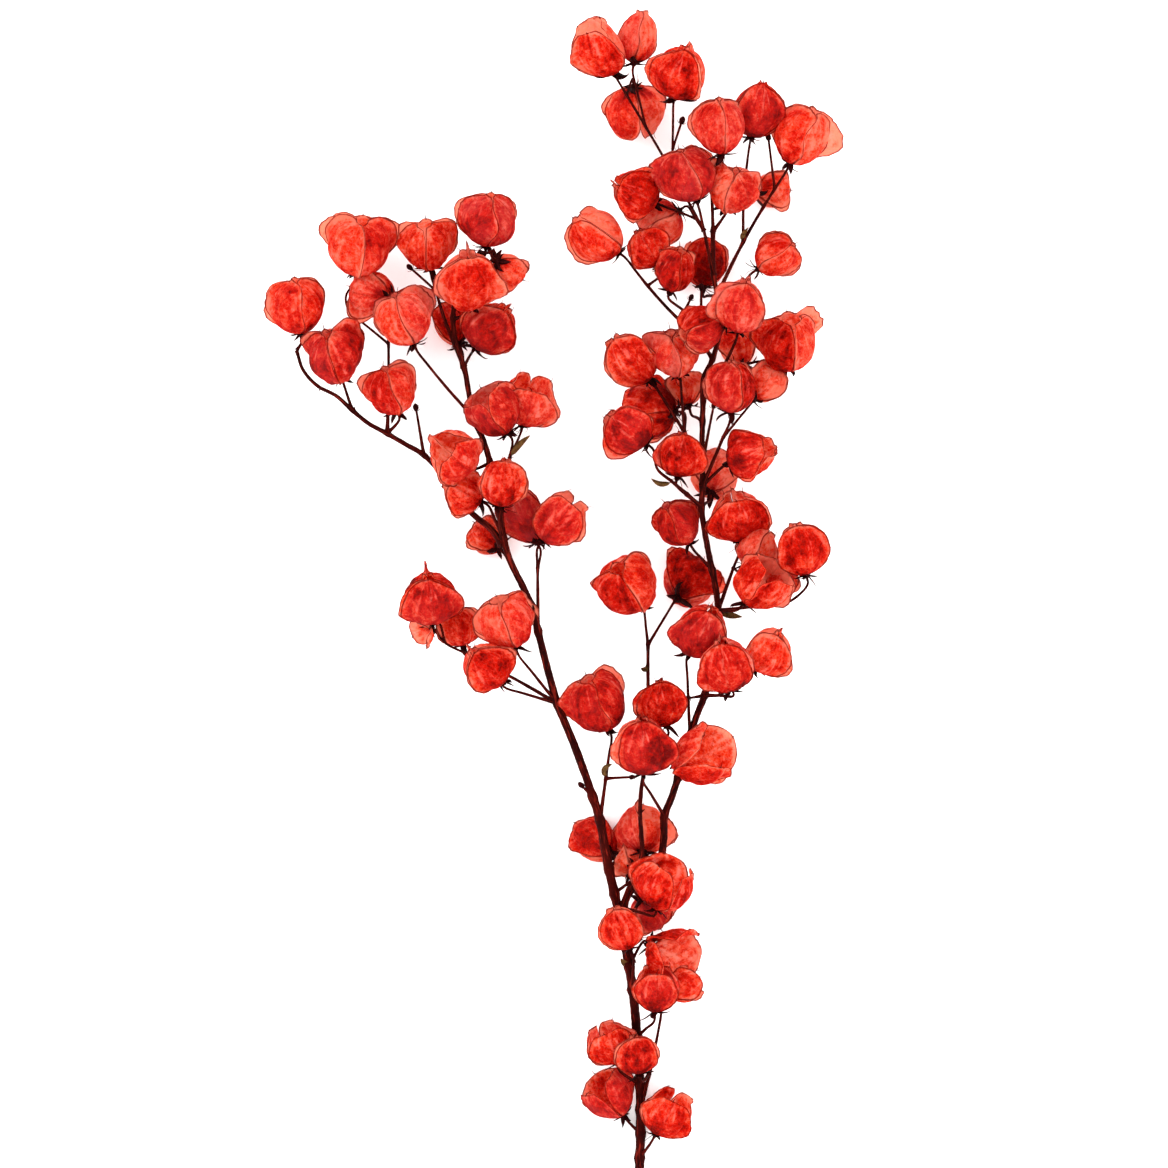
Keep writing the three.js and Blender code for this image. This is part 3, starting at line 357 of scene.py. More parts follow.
# The bract's dye: the tones between which each colour takes over from the one before it
DYES = (("middle", 0.0, 0.42), ("orange", 0.38, 0.72), ("pale", 0.66, 1.0))
MARGIN = (0.35, 1.35)  # mm from the rim between which the dark edge ends
PAINTED_GLOW_MARGIN = (5.5, 0.36)  # mm from the rim, and how much paler the colour is at it: painted light, as where one thin layer lets light through
FOOT_SHADE_DEPTH = (0.4, 0.56)  # share of the length, and how much deeper the colour is at the foot: painted shade
FOOT_SHADE = (0.18, 0.9)  # share of the length, and how much of the foot's painted shade colour shows

# The camera's far limit, and the soft lamps: name, place and share of the power
CAMERA_CLIP = 100
LAMP_SIZE = 2.4
LAMPS = (
    ("lamp_left", (-2.2, 1.6, 2.4), 1.3),
    ("lamp_right", (2.4, 0.6, 2.2), 0.8),
    ("lamp_foot", (0.2, -2.8, 2.3), 0.8),
)

# Blooms: centre column and row, width, length, base column and row, height of the centre in mm,
# lean (1 faces up, -1 faces down), how open it is, and how many degrees the nearest seam between two
# bracts is turned from straight up (60 brings the middle of a bract up)
BLOOMS = {
    "r01": (600, 50, 54, 62, 613, 72, 56, 1, 0.45, 40),
    "r02": (638, 37, 38, 54, 634, 64, 40, -1, 0.3, 0),
    "r03": (637, 108, 56, 46, 634, 86, 20, -1, 0.6, 0),
    "r04": (680, 74, 62, 50, 675, 97, 70, 1, 0.15, 60),
    "r05": (719, 130, 56, 56, 720, 157, 84, 1, 0.1, 5),
    "r06": (756, 110, 55, 57, 750, 138, 56, 1, 0.1, 60),
    "r07": (803, 138, 62, 60, 788, 170, 60, 1, 0.3, 25),
    "r08": (774, 188, 38, 40, 757, 188, 8, -1, 0.4, 60),
    "r09": (687, 174, 63, 52, 696, 200, 82, 1, 0.15, 10),
    "r10": (732, 190, 53, 52, 728, 207, 62, 1, 0.1, 0),
    "r11": (635, 193, 52, 50, 654, 202, 59, 1, 0.25, 50),
    "r12": (660, 222, 44, 45, 680, 210, 35, -1, 0.5, 0),
    "r13": (597, 236, 58, 56, 618, 252, 50, 1, 0.25, 10),
    "r14": (645, 246, 42, 42, 656, 266, 62, 1, 0.1, 60),
    "r15": (677, 273, 42, 46, 672, 292, 54, 1, 0.2, 20),
    "r16": (706, 262, 44, 48, 704, 288, 8, -1, 0.5, 60),
    "r17": (777, 256, 46, 46, 758, 269, 50, 1, 0.1, 0),
    "r18": (745, 306, 56, 56, 741, 330, 76, 1, 0.2, 60),
    "r19": (697, 330, 48, 44, 718, 322, 86, 1, 0.35, 0),
    "r20": (630, 360, 48, 56, 648, 380, 50, 1, 0.35, 60),
    "r21": (676, 352, 56, 48, 680, 373, 62, 1, 0.2, 0),
    "r22": (788, 342, 66, 50, 786, 366, 58, 1, 0.35, 25),
    "r23": (738, 345, 38, 42, 745, 365, 7, -1, 0.5, 60),
    "r24": (765, 384, 38, 42, 752, 402, 40, -1, 0.3, 60),
    "r25": (732, 388, 50, 52, 730, 413, 74, 1, 0.2, 15),
    "r26": (686, 388, 36, 34, 690, 404, 20, -1, 0.4, 60),
    "r27": (650, 410, 56, 52, 674, 412, 30, -1, 0.5, 0),
    "r28": (628, 430, 52, 46, 648, 446, 74, 1, 0.3, 40),
    "r29": (680, 455, 49, 44, 677, 477, 68, 1, 0.1, 60),
    "r30": (750, 455, 50, 52, 731, 463, 64, 1, 0.4, 40),
    "r31": (715, 475, 52, 42, 712, 492, 8, -1, 0.4, 60),
    "r32": (678, 524, 46, 46, 689, 542, 46, 1, 0.2, 0),
    "r33": (738, 515, 60, 52, 741, 538, 62, 1, 0.35, 60),
    "r34": (757, 550, 42, 42, 746, 566, 32, -1, 0.4, 0),
    "r35": (799, 550, 50, 54, 805, 578, 54, 1, 0.25, 60),
    "r36": (757, 590, 57, 50, 737, 611, 66, 1, 0.45, 0),
    "r37": (786, 576, 34, 34, 771, 590, 50, -1, 0.4, 60),
    "r38": (628, 585, 68, 62, 640, 603, 56, 1, 0.3, 5),
    "r39": (690, 580, 60, 50, 678, 597, 9, -1, 0.2, 60),
    "r40": (700, 630, 64, 56, 690, 651, 62, 1, 0.35, 60),
    "r41": (725, 664, 57, 56, 731, 687, 84, 1, 0.2, 60),
    "r42": (768, 650, 50, 50, 756, 667, 64, 1, 0.2, 60),
    "r43": (597, 702, 68, 57, 608, 728, 56, 1, 0.35, 5),
    "r44": (662, 702, 52, 48, 667, 727, 60, 1, 0.15, 60),
    "r45": (643, 745, 66, 60, 643, 772, 80, 1, 0.25, 60),
    "r46": (700, 757, 52, 64, 681, 769, 64, 1, 0.75, 0),
    "r47a": (598, 842, 40, 52, 612, 854, 8, -1, 0.5, 60),
    "r47b": (639, 833, 58, 54, 641, 855, 20, -1, 0.2, 0),
    "r47c": (630, 862, 32, 28, 634, 870, 27, -1, 0.4, 20),
    "r48": (664, 885, 56, 46, 657, 907, 56, 1, 0.4, 20),
    "r49": (650, 915, 40, 40, 641, 902, 7, -1, 0.4, 60),
    "r50": (622, 928, 42, 44, 630, 948, 50, 1, 0.3, 60),
    "r51": (670, 955, 54, 46, 652, 945, 44, 1, 0.45, 0),
    "r52": (656, 990, 40, 46, 655, 1012, 36, 1, 0.3, 60),
    "r53": (685, 988, 32, 34, 668, 1000, 26, -1, 0.5, 60),
    "r54": (609, 1045, 44, 44, 618, 1067, 8, 1, 0.35, 60),
    "r55": (637, 1055, 44, 38, 640, 1074, 38, 1, 0.2, 60),
    "r56": (614, 1098, 46, 50, 629, 1120, 8, 1, 0.4, 0),
    "r57": (666, 1116, 46, 48, 654, 1139, 8, 1, 0.4, 60),
    "l01": (297, 306, 58, 56, 300, 334, 40, 1, 0.15, 10),
    "l02": (334, 355, 66, 54, 341, 377, 46, 1, 0.3, 0),
    "l03": (391, 390, 56, 46, 397, 411, 50, 1, 0.1, 0),
    "l04": (361, 246, 70, 52, 358, 272, 52, 1, 0.2, 0),
    "l05": (370, 292, 52, 46, 388, 298, 24, -1, 0.3, 60),
    "l06": (404, 318, 64, 57, 414, 343, 60, 1, 0.15, 5),
    "l07": (428, 245, 55, 46, 430, 266, 42, 1, 0.4, 0),
    "l08": (489, 221, 58, 52, 486, 246, 50, 1, 0.1, 5),
    "l09": (467, 280, 68, 60, 468, 305, 64, 1, 0.25, 60),
    "l10": (511, 270, 34, 36, 500, 262, 42, -1, 0.3, 60),
    "l11": (490, 327, 58, 46, 476, 346, 38, 1, 0.2, 60),
    "l12": (450, 323, 34, 45, 458, 342, 7, -1, 0.4, 60),
    "l13a": (495, 412, 54, 50, 511, 438, 64, 1, 0.5, 0),
    "l13b": (529, 402, 48, 50, 523, 424, 42, 1, 0.5, 60),
    "l14": (455, 457, 52, 50, 468, 466, 66, 1, 0.5, 60),
    "l15": (503, 482, 46, 50, 500, 506, 68, 1, 0.15, 60),
    "l16": (463, 492, 44, 42, 480, 501, 46, 1, 0.4, 60),
    "l17": (524, 517, 42, 58, 538, 545, 28, -1, 0.5, 60),
    "l18": (560, 520, 46, 55, 543, 541, 50, 1, 0.6, 60),
    "l19": (487, 537, 36, 37, 498, 548, 6, -1, 0.4, 60),
    "l20": (431, 596, 60, 49, 433, 617, 48, 1, 0.2, 60),
    "l21": (419, 634, 26, 22, 432, 627, 40, 1, 0.6, 0),
    "l22": (458, 625, 45, 43, 462, 645, 24, 1, 0.2, 60),
    "l23": (507, 620, 60, 53, 517, 645, 76, 1, 0.4, 0),
    "l24": (486, 668, 52, 50, 499, 684, 52, 1, 0.15, 60),
}

# Blooms that press on each other, with the distance between them in the sum of their reaches
PRESSED_TOGETHER = (
    ("r01", "r02", 0.8), ("r05", "r06", 0.89), ("r06", "r07", 0.89), ("r09", "r10", 0.84),
    ("r12", "r14", 0.82), ("r14", "r15", 0.85), ("r18", "r19", 0.89), ("r20", "r21", 0.84),
    ("r22", "r24", 0.89), ("r26", "r27", 0.89), ("r33", "r34", 0.8), ("r36", "r37", 0.74),
    ("r44", "r45", 0.89), ("r47b", "r47c", 0.89), ("r51", "r52", 0.86), ("r51", "r53", 0.84),
    ("r54", "r55", 0.87), ("l04", "l05", 0.89), ("l09", "l10", 0.8), ("l13a", "l13b", 0.89),
    ("l14", "l16", 0.89), ("l17", "l18", 0.89), ("l20", "l21", 0.89), ("r40", "r41", 0.89),
    ("l23", "l24", 0.84),
)

# Main wood: radius at the root and at the end, then column, row and height in mm
MAIN_WOOD = {
    "stem": (3.0, 1.2, (
        (640, 1212, 2.9), (640, 1168, 3.2), (641, 1130, 6), (640, 1080, 12), (637, 1035, 19),
        (634, 1000, 25), (629, 965, 30), (625, 945, 32), (617, 905, 36), (607, 860, 40), (600, 820, 43),
        (592, 795, 45), (580, 760, 47), (566, 725, 49), (556, 700, 50), (548, 670, 51), (540, 640, 52),
        (533, 610, 52), (522, 585, 52), (508, 555, 51), (502, 530, 50), (498, 500, 49), (492, 470, 48),
        (484, 442, 47), (474, 421, 46), (470, 400, 46), (466, 375, 46), (461, 358, 46), (455, 340, 44),
        (453, 318, 41), (455, 300, 38), (463, 278, 36), (473, 260, 37), (480, 252, 38),
    )),
    "right": (2.1, 1.2, (
        (622, 930, 33), (624, 905, 34), (632, 888, 34), (645, 872, 34), (658, 862, 35), (664, 845, 36),
        (663, 825, 38), (668, 805, 40), (675, 790, 42), (681, 765, 43), (690, 735, 44), (697, 715, 44),
        (703, 700, 43), (708, 685, 42), (713, 650, 42), (718, 610, 44), (716, 590, 47), (710, 560, 50),
        (706, 540, 51), (703, 520, 52), (701, 500, 53), (703, 480, 53), (702, 460, 53), (702, 430, 53),
        (703, 400, 53), (703, 380, 53), (708, 370, 52), (714, 355, 52), (718, 335, 51), (717, 295, 50),
        (714, 280, 50), (713, 260, 50), (713, 232, 49),
    )),
    "middle": (1.3, 0.9, (
        (620, 912, 36), (630, 885, 38), (638, 868, 40), (642, 853, 41), (641, 830, 41), (640, 803, 41),
        (643, 778, 41), (647, 740, 40), (648, 700, 40), (648, 665, 41), (648, 645, 43),
    )),
    "long_left": (1.7, 0.9, (
        (502, 545, 50), (490, 528, 44), (470, 512, 36), (455, 495, 31), (443, 480, 30), (433, 462, 31),
        (410, 447, 34), (390, 435, 36), (375, 427, 37), (360, 418, 38), (350, 408, 38), (335, 395, 38),
        (315, 384, 37), (300, 365, 35), (296, 350, 34),
    )),
}

# Twigs: own name, parent, where it leaves the parent, points on its way (with a height where it has to
# pass over or under something) and the bloom that it bears. A twig with no bloom ends in a bud.
TWIGS = (
    ("", "long_left", (296, 350), (), "l01"),
    ("", "long_left", (350, 408), ((347, 395),), "l02"),
    ("", "long_left", (380, 430), ((385, 423),), "l03"),
    ("", "long_left", (431, 458), ((425, 435), (416, 410)), ""),
    ("a", "long_left", (386, 432), (
        (392, 410, 26), (393, 385, 26), (391, 364, 32), (388, 345, 34), (388, 325, 34),
    ), ""),
    ("", "a", (388, 325), ((388, 312),), "l05"),
    ("", "a", (388, 340), ((378, 318, 42), (366, 292, 44)), "l04"),
    ("", "stem", (474, 421), ((455, 410), (440, 398), (428, 385), (415, 368), (411, 354)), "l06"),
    ("b", "stem", (461, 358), ((440, 335), (437, 315), (430, 300), (422, 288), (422, 276)), "l07"),
    ("", "b", (424, 290), ((414, 280), (412, 268)), ""),
    ("", "stem", (480, 252), (), "l08"),
    ("", "stem", (454, 310), ((460, 308),), "l09"),
    ("", "stem", (473, 260), ((486, 262),), "l10"),
    ("", "stem", (466, 372), ((471, 360),), "l11"),
    ("", "stem", (463, 364), ((461, 354),), "l12"),
    ("c", "stem", (500, 512), ((508, 500, 42), (514, 480, 42), (516, 462, 46)), "l13a"),
    ("", "c", (516, 460), ((519, 440),), "l13b"),
    ("", "stem", (490, 462), ((480, 464),), "l14"),
    ("", "stem", (503, 530), ((502, 518),), "l15"),
    ("", "stem", (502, 540), ((492, 520),), "l16"),
    ("d", "stem", (537, 632), ((539, 612), (542, 590), (543, 570)), "l18"),
    ("", "d", (543, 562), ((541, 554),), "l17"),
    ("", "stem", (528, 605), ((516, 585), (507, 562)), "l19"),
    ("e", "stem", (556, 712), ((530, 690), (512, 664), (490, 655), (472, 650)), "l22"),
    ("f", "e", (476, 652), ((456, 642), (444, 634)), "l20"),
    ("", "f", (444, 634), ((439, 632),), "l21"),
    ("", "stem", (554, 706), ((545, 697), (535, 682), (521, 660)), "l23"),
    ("", "stem", (558, 716), ((530, 705), (515, 697)), "l24"),
    ("", "stem", (640, 1146), ((637, 1134),), "r56"),
    ("", "stem", (641, 1150), ((648, 1144),), "r57"),
    ("g", "stem", (641, 1105), ((648, 1094), (655, 1080), (660, 1060), (663, 1030), (666, 1012)), "r53"),
    ("", "g", (656, 1080), ((648, 1083),), "r55"),
    ("", "stem", (640, 1092), ((630, 1080),), "r54"),
    ("", "stem", (638, 1040), ((648, 1026),), "r52"),
    ("", "stem", (631, 972), ((640, 952),), "r51"),
    ("", "stem", (632, 985), ((634, 965),), "r50"),
    ("", "right", (628, 896), (), "r49"),
    ("", "right", (624, 915), ((640, 914),), "r48"),
    ("", "stem", (611, 880), ((605, 864),), "r47a"),
    ("", "middle", (636, 872), (), "r47b"),
    ("", "stem", (614, 892), ((624, 882),), "r47c"),
    ("h", "stem", (597, 812), ((602, 800), (604, 785), (609, 768), (607, 745)), "r43"),
    ("", "h", (604, 785), ((616, 785), (624, 782), (630, 777)), ""),
    ("", "right", (663, 822), ((652, 800), (644, 786)), "r45"),
    ("", "stem", (590, 792), ((583, 787),), ""),
    ("", "middle", (647, 742), ((658, 736),), "r44"),
    ("", "right", (707, 690), ((700, 692), (690, 698)), ""),
    ("", "right", (677, 784), (), "r46"),
    ("", "right", (692, 730), ((684, 704), (686, 678)), "r40"),
    ("i", "right", (703, 702), ((716, 698),), "r41"),
    ("", "i", (716, 698), ((738, 690), (752, 677)), "r42"),
    ("", "middle", (648, 652), ((662, 632), (670, 612)), "r39"),
    ("", "middle", (648, 645), ((643, 620),), "r38"),
    ("j", "right", (718, 616), ((728, 614),), "r36"),
    ("k", "j", (722, 615), ((736, 612, 38), (752, 604, 30), (776, 598, 30), (793, 590, 36)), "r35"),
    ("", "k", (764, 602), (), "r37"),
    ("l", "right", (718, 606), ((724, 595), (733, 580), (738, 562)), "r33"),
    ("", "l", (735, 575), (), "r34"),
    ("", "right", (708, 560), ((698, 550),), "r32"),
    ("", "right", (702, 508), (), "r31"),
    ("", "right", (704, 484), ((714, 474), (722, 469)), "r30"),
    ("m", "right", (702, 516), ((693, 508), (680, 492), (668, 475), (656, 458)), "r28"),
    ("", "m", (682, 495), ((678, 486),), "r29"),
    ("n", "right", (702, 462), ((693, 432), (687, 414, 47), (675, 397, 44), (661, 384)), "r20"),
    ("", "n", (689, 420), ((690, 402, 50), (684, 384)), "r21"),
    ("", "n", (690, 425), ((682, 418),), "r27"),
    ("", "right", (703, 420), ((697, 412),), "r26"),
    ("o", "right", (704, 492), ((712, 472), (720, 455), (729, 435)), "r25"),
    ("", "o", (727, 440), ((742, 418),), "r24"),
    ("", "right", (703, 470), ((708, 445), (711, 425), (713, 408)), ""),
    ("p", "right", (703, 408), ((720, 388, 44), (737, 367, 46), (741, 348, 56)), "r18"),
    ("", "p", (730, 376), ((740, 374),), "r23"),
    ("", "p", (734, 371), ((760, 376), (776, 374)), "r22"),
    ("", "right", (718, 342), ((721, 332),), "r19"),
    ("", "right", (717, 300), ((710, 296),), "r16"),
    ("q", "right", (714, 358), (
        (696, 346, 38), (668, 330, 40), (655, 305, 48), (647, 286, 50), (637, 266), (627, 257),
    ), "r13"),
    ("", "q", (648, 289), ((652, 276),), "r14"),
    ("s", "right", (718, 330), ((696, 320, 44), (680, 310, 46)), "r15"),
    ("", "s", (696, 320), ((698, 305), (701, 290)), ""),
    ("", "s", (690, 317), ((690, 300),), ""),
    ("", "right", (718, 322), ((734, 302, 44), (746, 280, 48)), "r17"),
    ("t", "right", (717, 300), (
        (722, 288), (728, 270), (733, 250), (745, 222), (758, 195), (772, 180),
    ), "r07"),
    ("", "t", (752, 208), ((754, 196),), "r08"),
    ("", "right", (713, 234), ((718, 220),), "r10"),
    ("u", "right", (714, 278), ((709, 258), (705, 240), (699, 220)), "r09"),
    ("v", "u", (702, 230), ((690, 219),), "r12"),
    ("", "v", (692, 221), ((674, 213, 58),), "r11"),
    ("w", "u", (700, 222), (
        (690, 196, 46), (676, 176, 46), (665, 160, 48), (652, 140, 49), (645, 128, 49), (634, 102, 50),
        (623, 86),
    ), "r01"),
    ("", "w", (642, 120), ((642, 100), (637, 80)), "r02"),
    ("", "w", (629, 94), (), "r03"),
    ("x", "w", (670, 167), ((674, 152), (669, 124)), "r04"),
    ("", "x", (674, 152), ((684, 146), (681, 124)), ""),
    ("", "right", (713, 234), ((718, 204, 46), (722, 180, 52)), "r05"),
    ("", "t", (736, 242), ((733, 220), (735, 192, 42), (738, 168, 46), (741, 152)), "r06"),
    ("", "t", (772, 180), ((770, 160), (769, 140)), ""),
)

# Small curled dry leaves: the wood they stand on, where, the column and row of the tip, and its rise
DRY_LEAVES = (
    ("m", (668, 475), 651, 479, 5),
    ("long_left", (433, 462), 431, 446, 6),
    ("c", (516, 455), 530, 436, 5),
    ("middle", (648, 672), 641, 668, 5),
    ("h", (606, 770), 612, 764, 5),
    ("j", (728, 614), 742, 617, 4),
    ("stem", (630, 965), 621, 959, 5),
    ("t", (740, 232), 748, 228, 4),
)


# Layout, in the plan's millimetres

def added(one, other):
    return (one[0] + other[0], one[1] + other[1], one[2] + other[2])


def between(one, other):
    return (other[0] - one[0], other[1] - one[1], other[2] - one[2])


def scaled(vector, share):
    return (vector[0] * share, vector[1] * share, vector[2] * share)


def dot(one, other):
    return one[0] * other[0] + one[1] * other[1] + one[2] * other[2]


def length(vector):
    return math.sqrt(dot(vector, vector))


def lerp(low, high, share):
    return low + (high - low) * share


def unit(vector):
    return scaled(vector, 1 / length(vector))


def plan(column, row, height=0.0):
    """A place of the plan in millimetres."""
    return ((column - STEM_COLUMN) * UNIT, (FOOT_ROW - row) * UNIT, float(height))


class Draw:
    """Seeded draws, alike on every run."""

    FIRST, LETTER = 7, 31
    FACTOR, STEP, STATES = 1664525, 1013904223, 2 ** 32

    def __init__(self, name, more=0):
        seed = self.FIRST
        for letter in name:
            seed = (seed * self.LETTER + ord(letter)) % self.STATES
        self.state = (seed + more) % self.STATES

    def __call__(self, limits):
        self.state = (self.state * self.FACTOR + self.STEP) % self.STATES
        return lerp(*limits, self.state / self.STATES)


class Bloom:
    """One bloom of the plan: a ball with an axis, and the turn that stands its own frame on that axis."""

    def __init__(self, name, row):
        column, line, width, long, base_column, base_line, height, lean, self.open, seam = row
        self.name = name
        self.centre = self.home = plan(column, line, height)
        self.radius = width * UNIT / 2
        self.half = max(long * UNIT / 2, LEAST_LENGTH * self.radius)
        self.reach = (self.radius + self.half) / 2
        flat = between(plan(base_column, base_line, height), self.home)
        along = min(length(flat) / self.half, MOST_FLAT)
        x, y, _ = scaled(unit(flat), along)
        z = lean * math.sqrt(1 - along * along)
        self.axis = (x, y, z)
        share = 1 / (1 + z)
        self.upright = np.array((
            (1 - x * x * share, -x * y * share, x),
            (-x * y * share, 1 - y * y * share, y),
            (-x, -y, z),
        ))
        self.first_bract = math.atan2(-y, -x) + math.radians(seam + 60)

    def place(self, points):
        """Points of the bloom's own frame, with +Z up its axis, in the plan's millimetres."""
        return points @ self.upright.T + np.array(self.base)

    def bract_turn(self, k):
        """The angle of a bract's middle in the bloom's own frame, or of a seam for a k between two bracts."""
        return self.first_bract + k * 2 * math.pi / 3


def nearest_on(point, start, end):
    span = between(start, end)
    share = dot(between(start, point), span) / dot(span, span)
    return added(start, scaled(span, min(max(share, 0), 1)))


def pushed(shift, share):
    """A push that moves a bloom less sideways than up and down."""
    return (shift[0] * share * SIDEWAYS, shift[1] * share * SIDEWAYS, shift[2] * share)


def settle(blooms, routes):
    """Neighbours push each other apart, mostly up and down, and pressed ones are drawn together."""
    pressed = {(one, other): share for one, other, share in PRESSED_TOGETHER}
    for _ in range(SETTLE_PASSES):
        for index, one in enumerate(blooms):
            for other in blooms[index + 1:]:
                shift = between(one.centre, other.centre)
                touching = one.reach + other.reach
                share = pressed.get((one.name, other.name))
                wanted = share * touching if share else touching + BLOOM_GAP
                distance = length(shift)
                if share or distance < wanted:
                    shift = pushed(shift, 0.5 * (wanted - distance) / distance)
                    one.centre = between(shift, one.centre)
                    other.centre = added(other.centre, shift)
        for one in blooms:
            for other in blooms:
                stalk = added(one.centre, scaled(one.axis, -one.half - STALK_ROOM))
                shift = between(other.centre, stalk)
                distance = length(shift)
                wanted = other.reach + STALK_ROOM
                if one is not other and distance < wanted:
                    shift = pushed(shift, 0.5 * (wanted - distance) / distance)
                    one.centre = added(one.centre, shift)
                    other.centre = between(shift, other.centre)
        for bloom in blooms:
            for points, radii in routes:
                for start, end, radius in zip(points, points[1:], radii[1:]):
                    wanted = bloom.reach + radius + WOOD_GAP
                    if abs(start[1] - bloom.centre[1]) > SEARCH * wanted:
                        continue
                    shift = between(nearest_on(bloom.centre, start, end), bloom.centre)
                    distance = length(shift)
                    if distance < wanted:
                        bloom.centre = added(bloom.centre, pushed(shift, (wanted - distance) / distance))
            x, y, z = bloom.centre
            x += (bloom.home[0] - x) * HOME_PULL
            y += (bloom.home[1] - y) * HOME_PULL
            bloom.centre = (x, y, max(z, FLOOR_REST * bloom.reach))
    for bloom in blooms:
        bloom.base = added(bloom.centre, scaled(bloom.axis, -bloom.half))


class Curve:
    """A smooth curve through given points, measured along its length."""

    def __init__(self, corners):
        first = between(corners[1], scaled(corners[0], 2))
        last = between(corners[-2], scaled(corners[-1], 2))
        self.points = [first, *corners, last]
        self.spans = len(corners) - 1
        steps = [self.at(k / CURVE_SAMPLES) for k in range(CURVE_SAMPLES + 1)]
        self.lengths = [0.0]
        for one, other in zip(steps, steps[1:]):
            self.lengths.append(self.lengths[-1] + length(between(one, other)))
        self.length = self.lengths[-1]

    def at(self, share):
        position = share * self.spans
        span = min(int(position), self.spans - 1)
        weight = position - span
        near = self.points[span:span + 4]
        before, here, after = (math.sqrt(length(between(a, b))) for a, b in zip(near, near[1:]))
        here = here if here >= LEAST_SPAN else 1.0
        before, after = (step if step >= LEAST_SPAN else here for step in (before, after))
        place = []
        for a, b, c, d in zip(*near):
            leave = ((b - a) / before - (c - a) / (before + here) + (c - b) / here) * here
            reach = ((c - b) / here - (d - b) / (here + after) + (d - c) / after) * here
            square = -3 * b + 3 * c - 2 * leave - reach
            cube = 2 * b - 2 * c + leave + reach
            place.append(b + weight * (leave + weight * (square + weight * cube)))
        return tuple(place)

    def spaced(self, count):
        """Points at even steps of the length."""
        points = []
        for k in range(count + 1):
            target = self.length * k / count
            low = min(bisect_right(self.lengths, target) - 1, CURVE_SAMPLES - 1)
            span = self.lengths[low + 1] - self.lengths[low]
            points.append(self.at((low + (target - self.lengths[low]) / span) / CURVE_SAMPLES))
        return points


def stepped_route(corners, step, root_radius, end_radius):
    """A route through given points, evenly stepped, with a radius at every step."""
    curve = Curve(corners)
    count = max(2, math.floor(curve.length / step + 0.5))
    return curve.spaced(count), [lerp(root_radius, end_radius, k / count) for k in range(count + 1)]


def nearest_step(points, spot):
    distances = [math.hypot(point[0] - spot[0], point[1] - spot[1]) for point in points]
    return distances.index(min(distances))


def bend_clear(points, radius, blooms, fixed_end):
    """A twig is bent clear of every bloom. Its root, and its last step into its own bloom, stay put."""
    near = [bloom for bloom in blooms
            if any(length(between(point, bloom.centre)) < SEARCH * bloom.reach for point in points)]
    for _ in range(BEND_PASSES):
        for k in range(1, len(points) - fixed_end):
            point = points[k]
            if k + 1 < len(points):
                middle = scaled(added(points[k - 1], points[k + 1]), 0.5)
                point = added(point, scaled(between(point, middle), BEND_SMOOTHING))
            for bloom in near:
                push = between(bloom.centre, point)
                distance = length(push)
                wanted = bloom.reach + radius + TWIG_GAP
                if distance < wanted:
                    point = added(point, scaled(push, (wanted - distance) / distance))
            points[k] = (point[0], point[1], max(point[2], radius + TWIG_LIFT))


def lay_twigs(blooms, routes):
    """Twigs in their order, each from a step of its parent to its bloom or its bud."""
    by_name = {bloom.name: bloom for bloom in blooms}
    laid = []
    for name, parent, leaves, via, bloom_name in TWIGS:
        parent_points, parent_radii = routes[parent]
        step = nearest_step(parent_points, plan(*leaves))
        root = parent_points[step]
        bloom = by_name.get(bloom_name)
        way = via if bloom else via[:-1]
        if bloom:
            end = added(bloom.base, scaled(bloom.axis, -STALK_END))
            approach = added(end, scaled(bloom.axis, -APPROACH))
        else:
            end = plan(*via[-1]) if len(via[-1]) == 3 else plan(*via[-1], root[2] + BUD_RISE)
        corners = [root]
        for k, (column, row, *height) in enumerate(way):
            rise = lerp(root[2], end[2], (k + 1) / (len(way) + 1))
            corners.append(plan(column, row, height[0] if height else rise))
        corners.extend((approach, end) if bloom else (end,))
        root_radius = min(parent_radii[step] * ROOT_SHARE, BRANCHED_RADIUS if name else TWIG_RADIUS)
        points, radii = stepped_route(corners, TWIG_STEP, root_radius, min(root_radius, STALK_RADIUS))
        if bloom and len(points) > 2:
            points[-2] = approach
        bend_clear(points, root_radius, blooms, 2 if bloom else 0)
        if name:
            routes[name] = (points, radii)
        laid.append((points, radii, bloom))
    return laid


@lru_cache(maxsize=1)
def layout():
    """Blooms, routes by name and twigs, where the frame's solids have them."""
    routes = {}
    for name, (root_radius, end_radius, corners) in MAIN_WOOD.items():
        step = STEM_STEP if name == "stem" else BRANCH_STEP
        routes[name] = stepped_route([plan(*corner) for corner in corners], step, root_radius, end_radius)
    blooms = [Bloom(name, row) for name, row in BLOOMS.items()]
    settle(blooms, list(routes.values()))
    twigs = lay_twigs(blooms, routes)
    return blooms, routes, twigs


# Papery bracts

def smooth(value, low, high):
    share = np.clip((value - low) / (high - low), 0, 1)
    return share * share * (3 - 2 * share)


def bract_shapes(bloom):
    """The same draws as in the frame's solids, so each bract bulges where its solid does."""
    draw = Draw(bloom.name)
    shapes = []
    for k in range(3):
        turn = bloom.bract_turn(k) + draw(TURN_DRAW)
        shapes.append({
            "turn": turn,
            "away": np.array((math.cos(turn), math.sin(turn), 0)),
            "open": min(max(OPENINGS.get(bloom.name, bloom.open) + draw(OPEN_DRAW), 0), 1),
            "curl": draw(CURL_DRAW),
            "flare": draw(FLARE_DRAW),
            "wave": draw(WAVE_DRAW),
            "phase": draw(CIRCLE),
        })
    return shapes


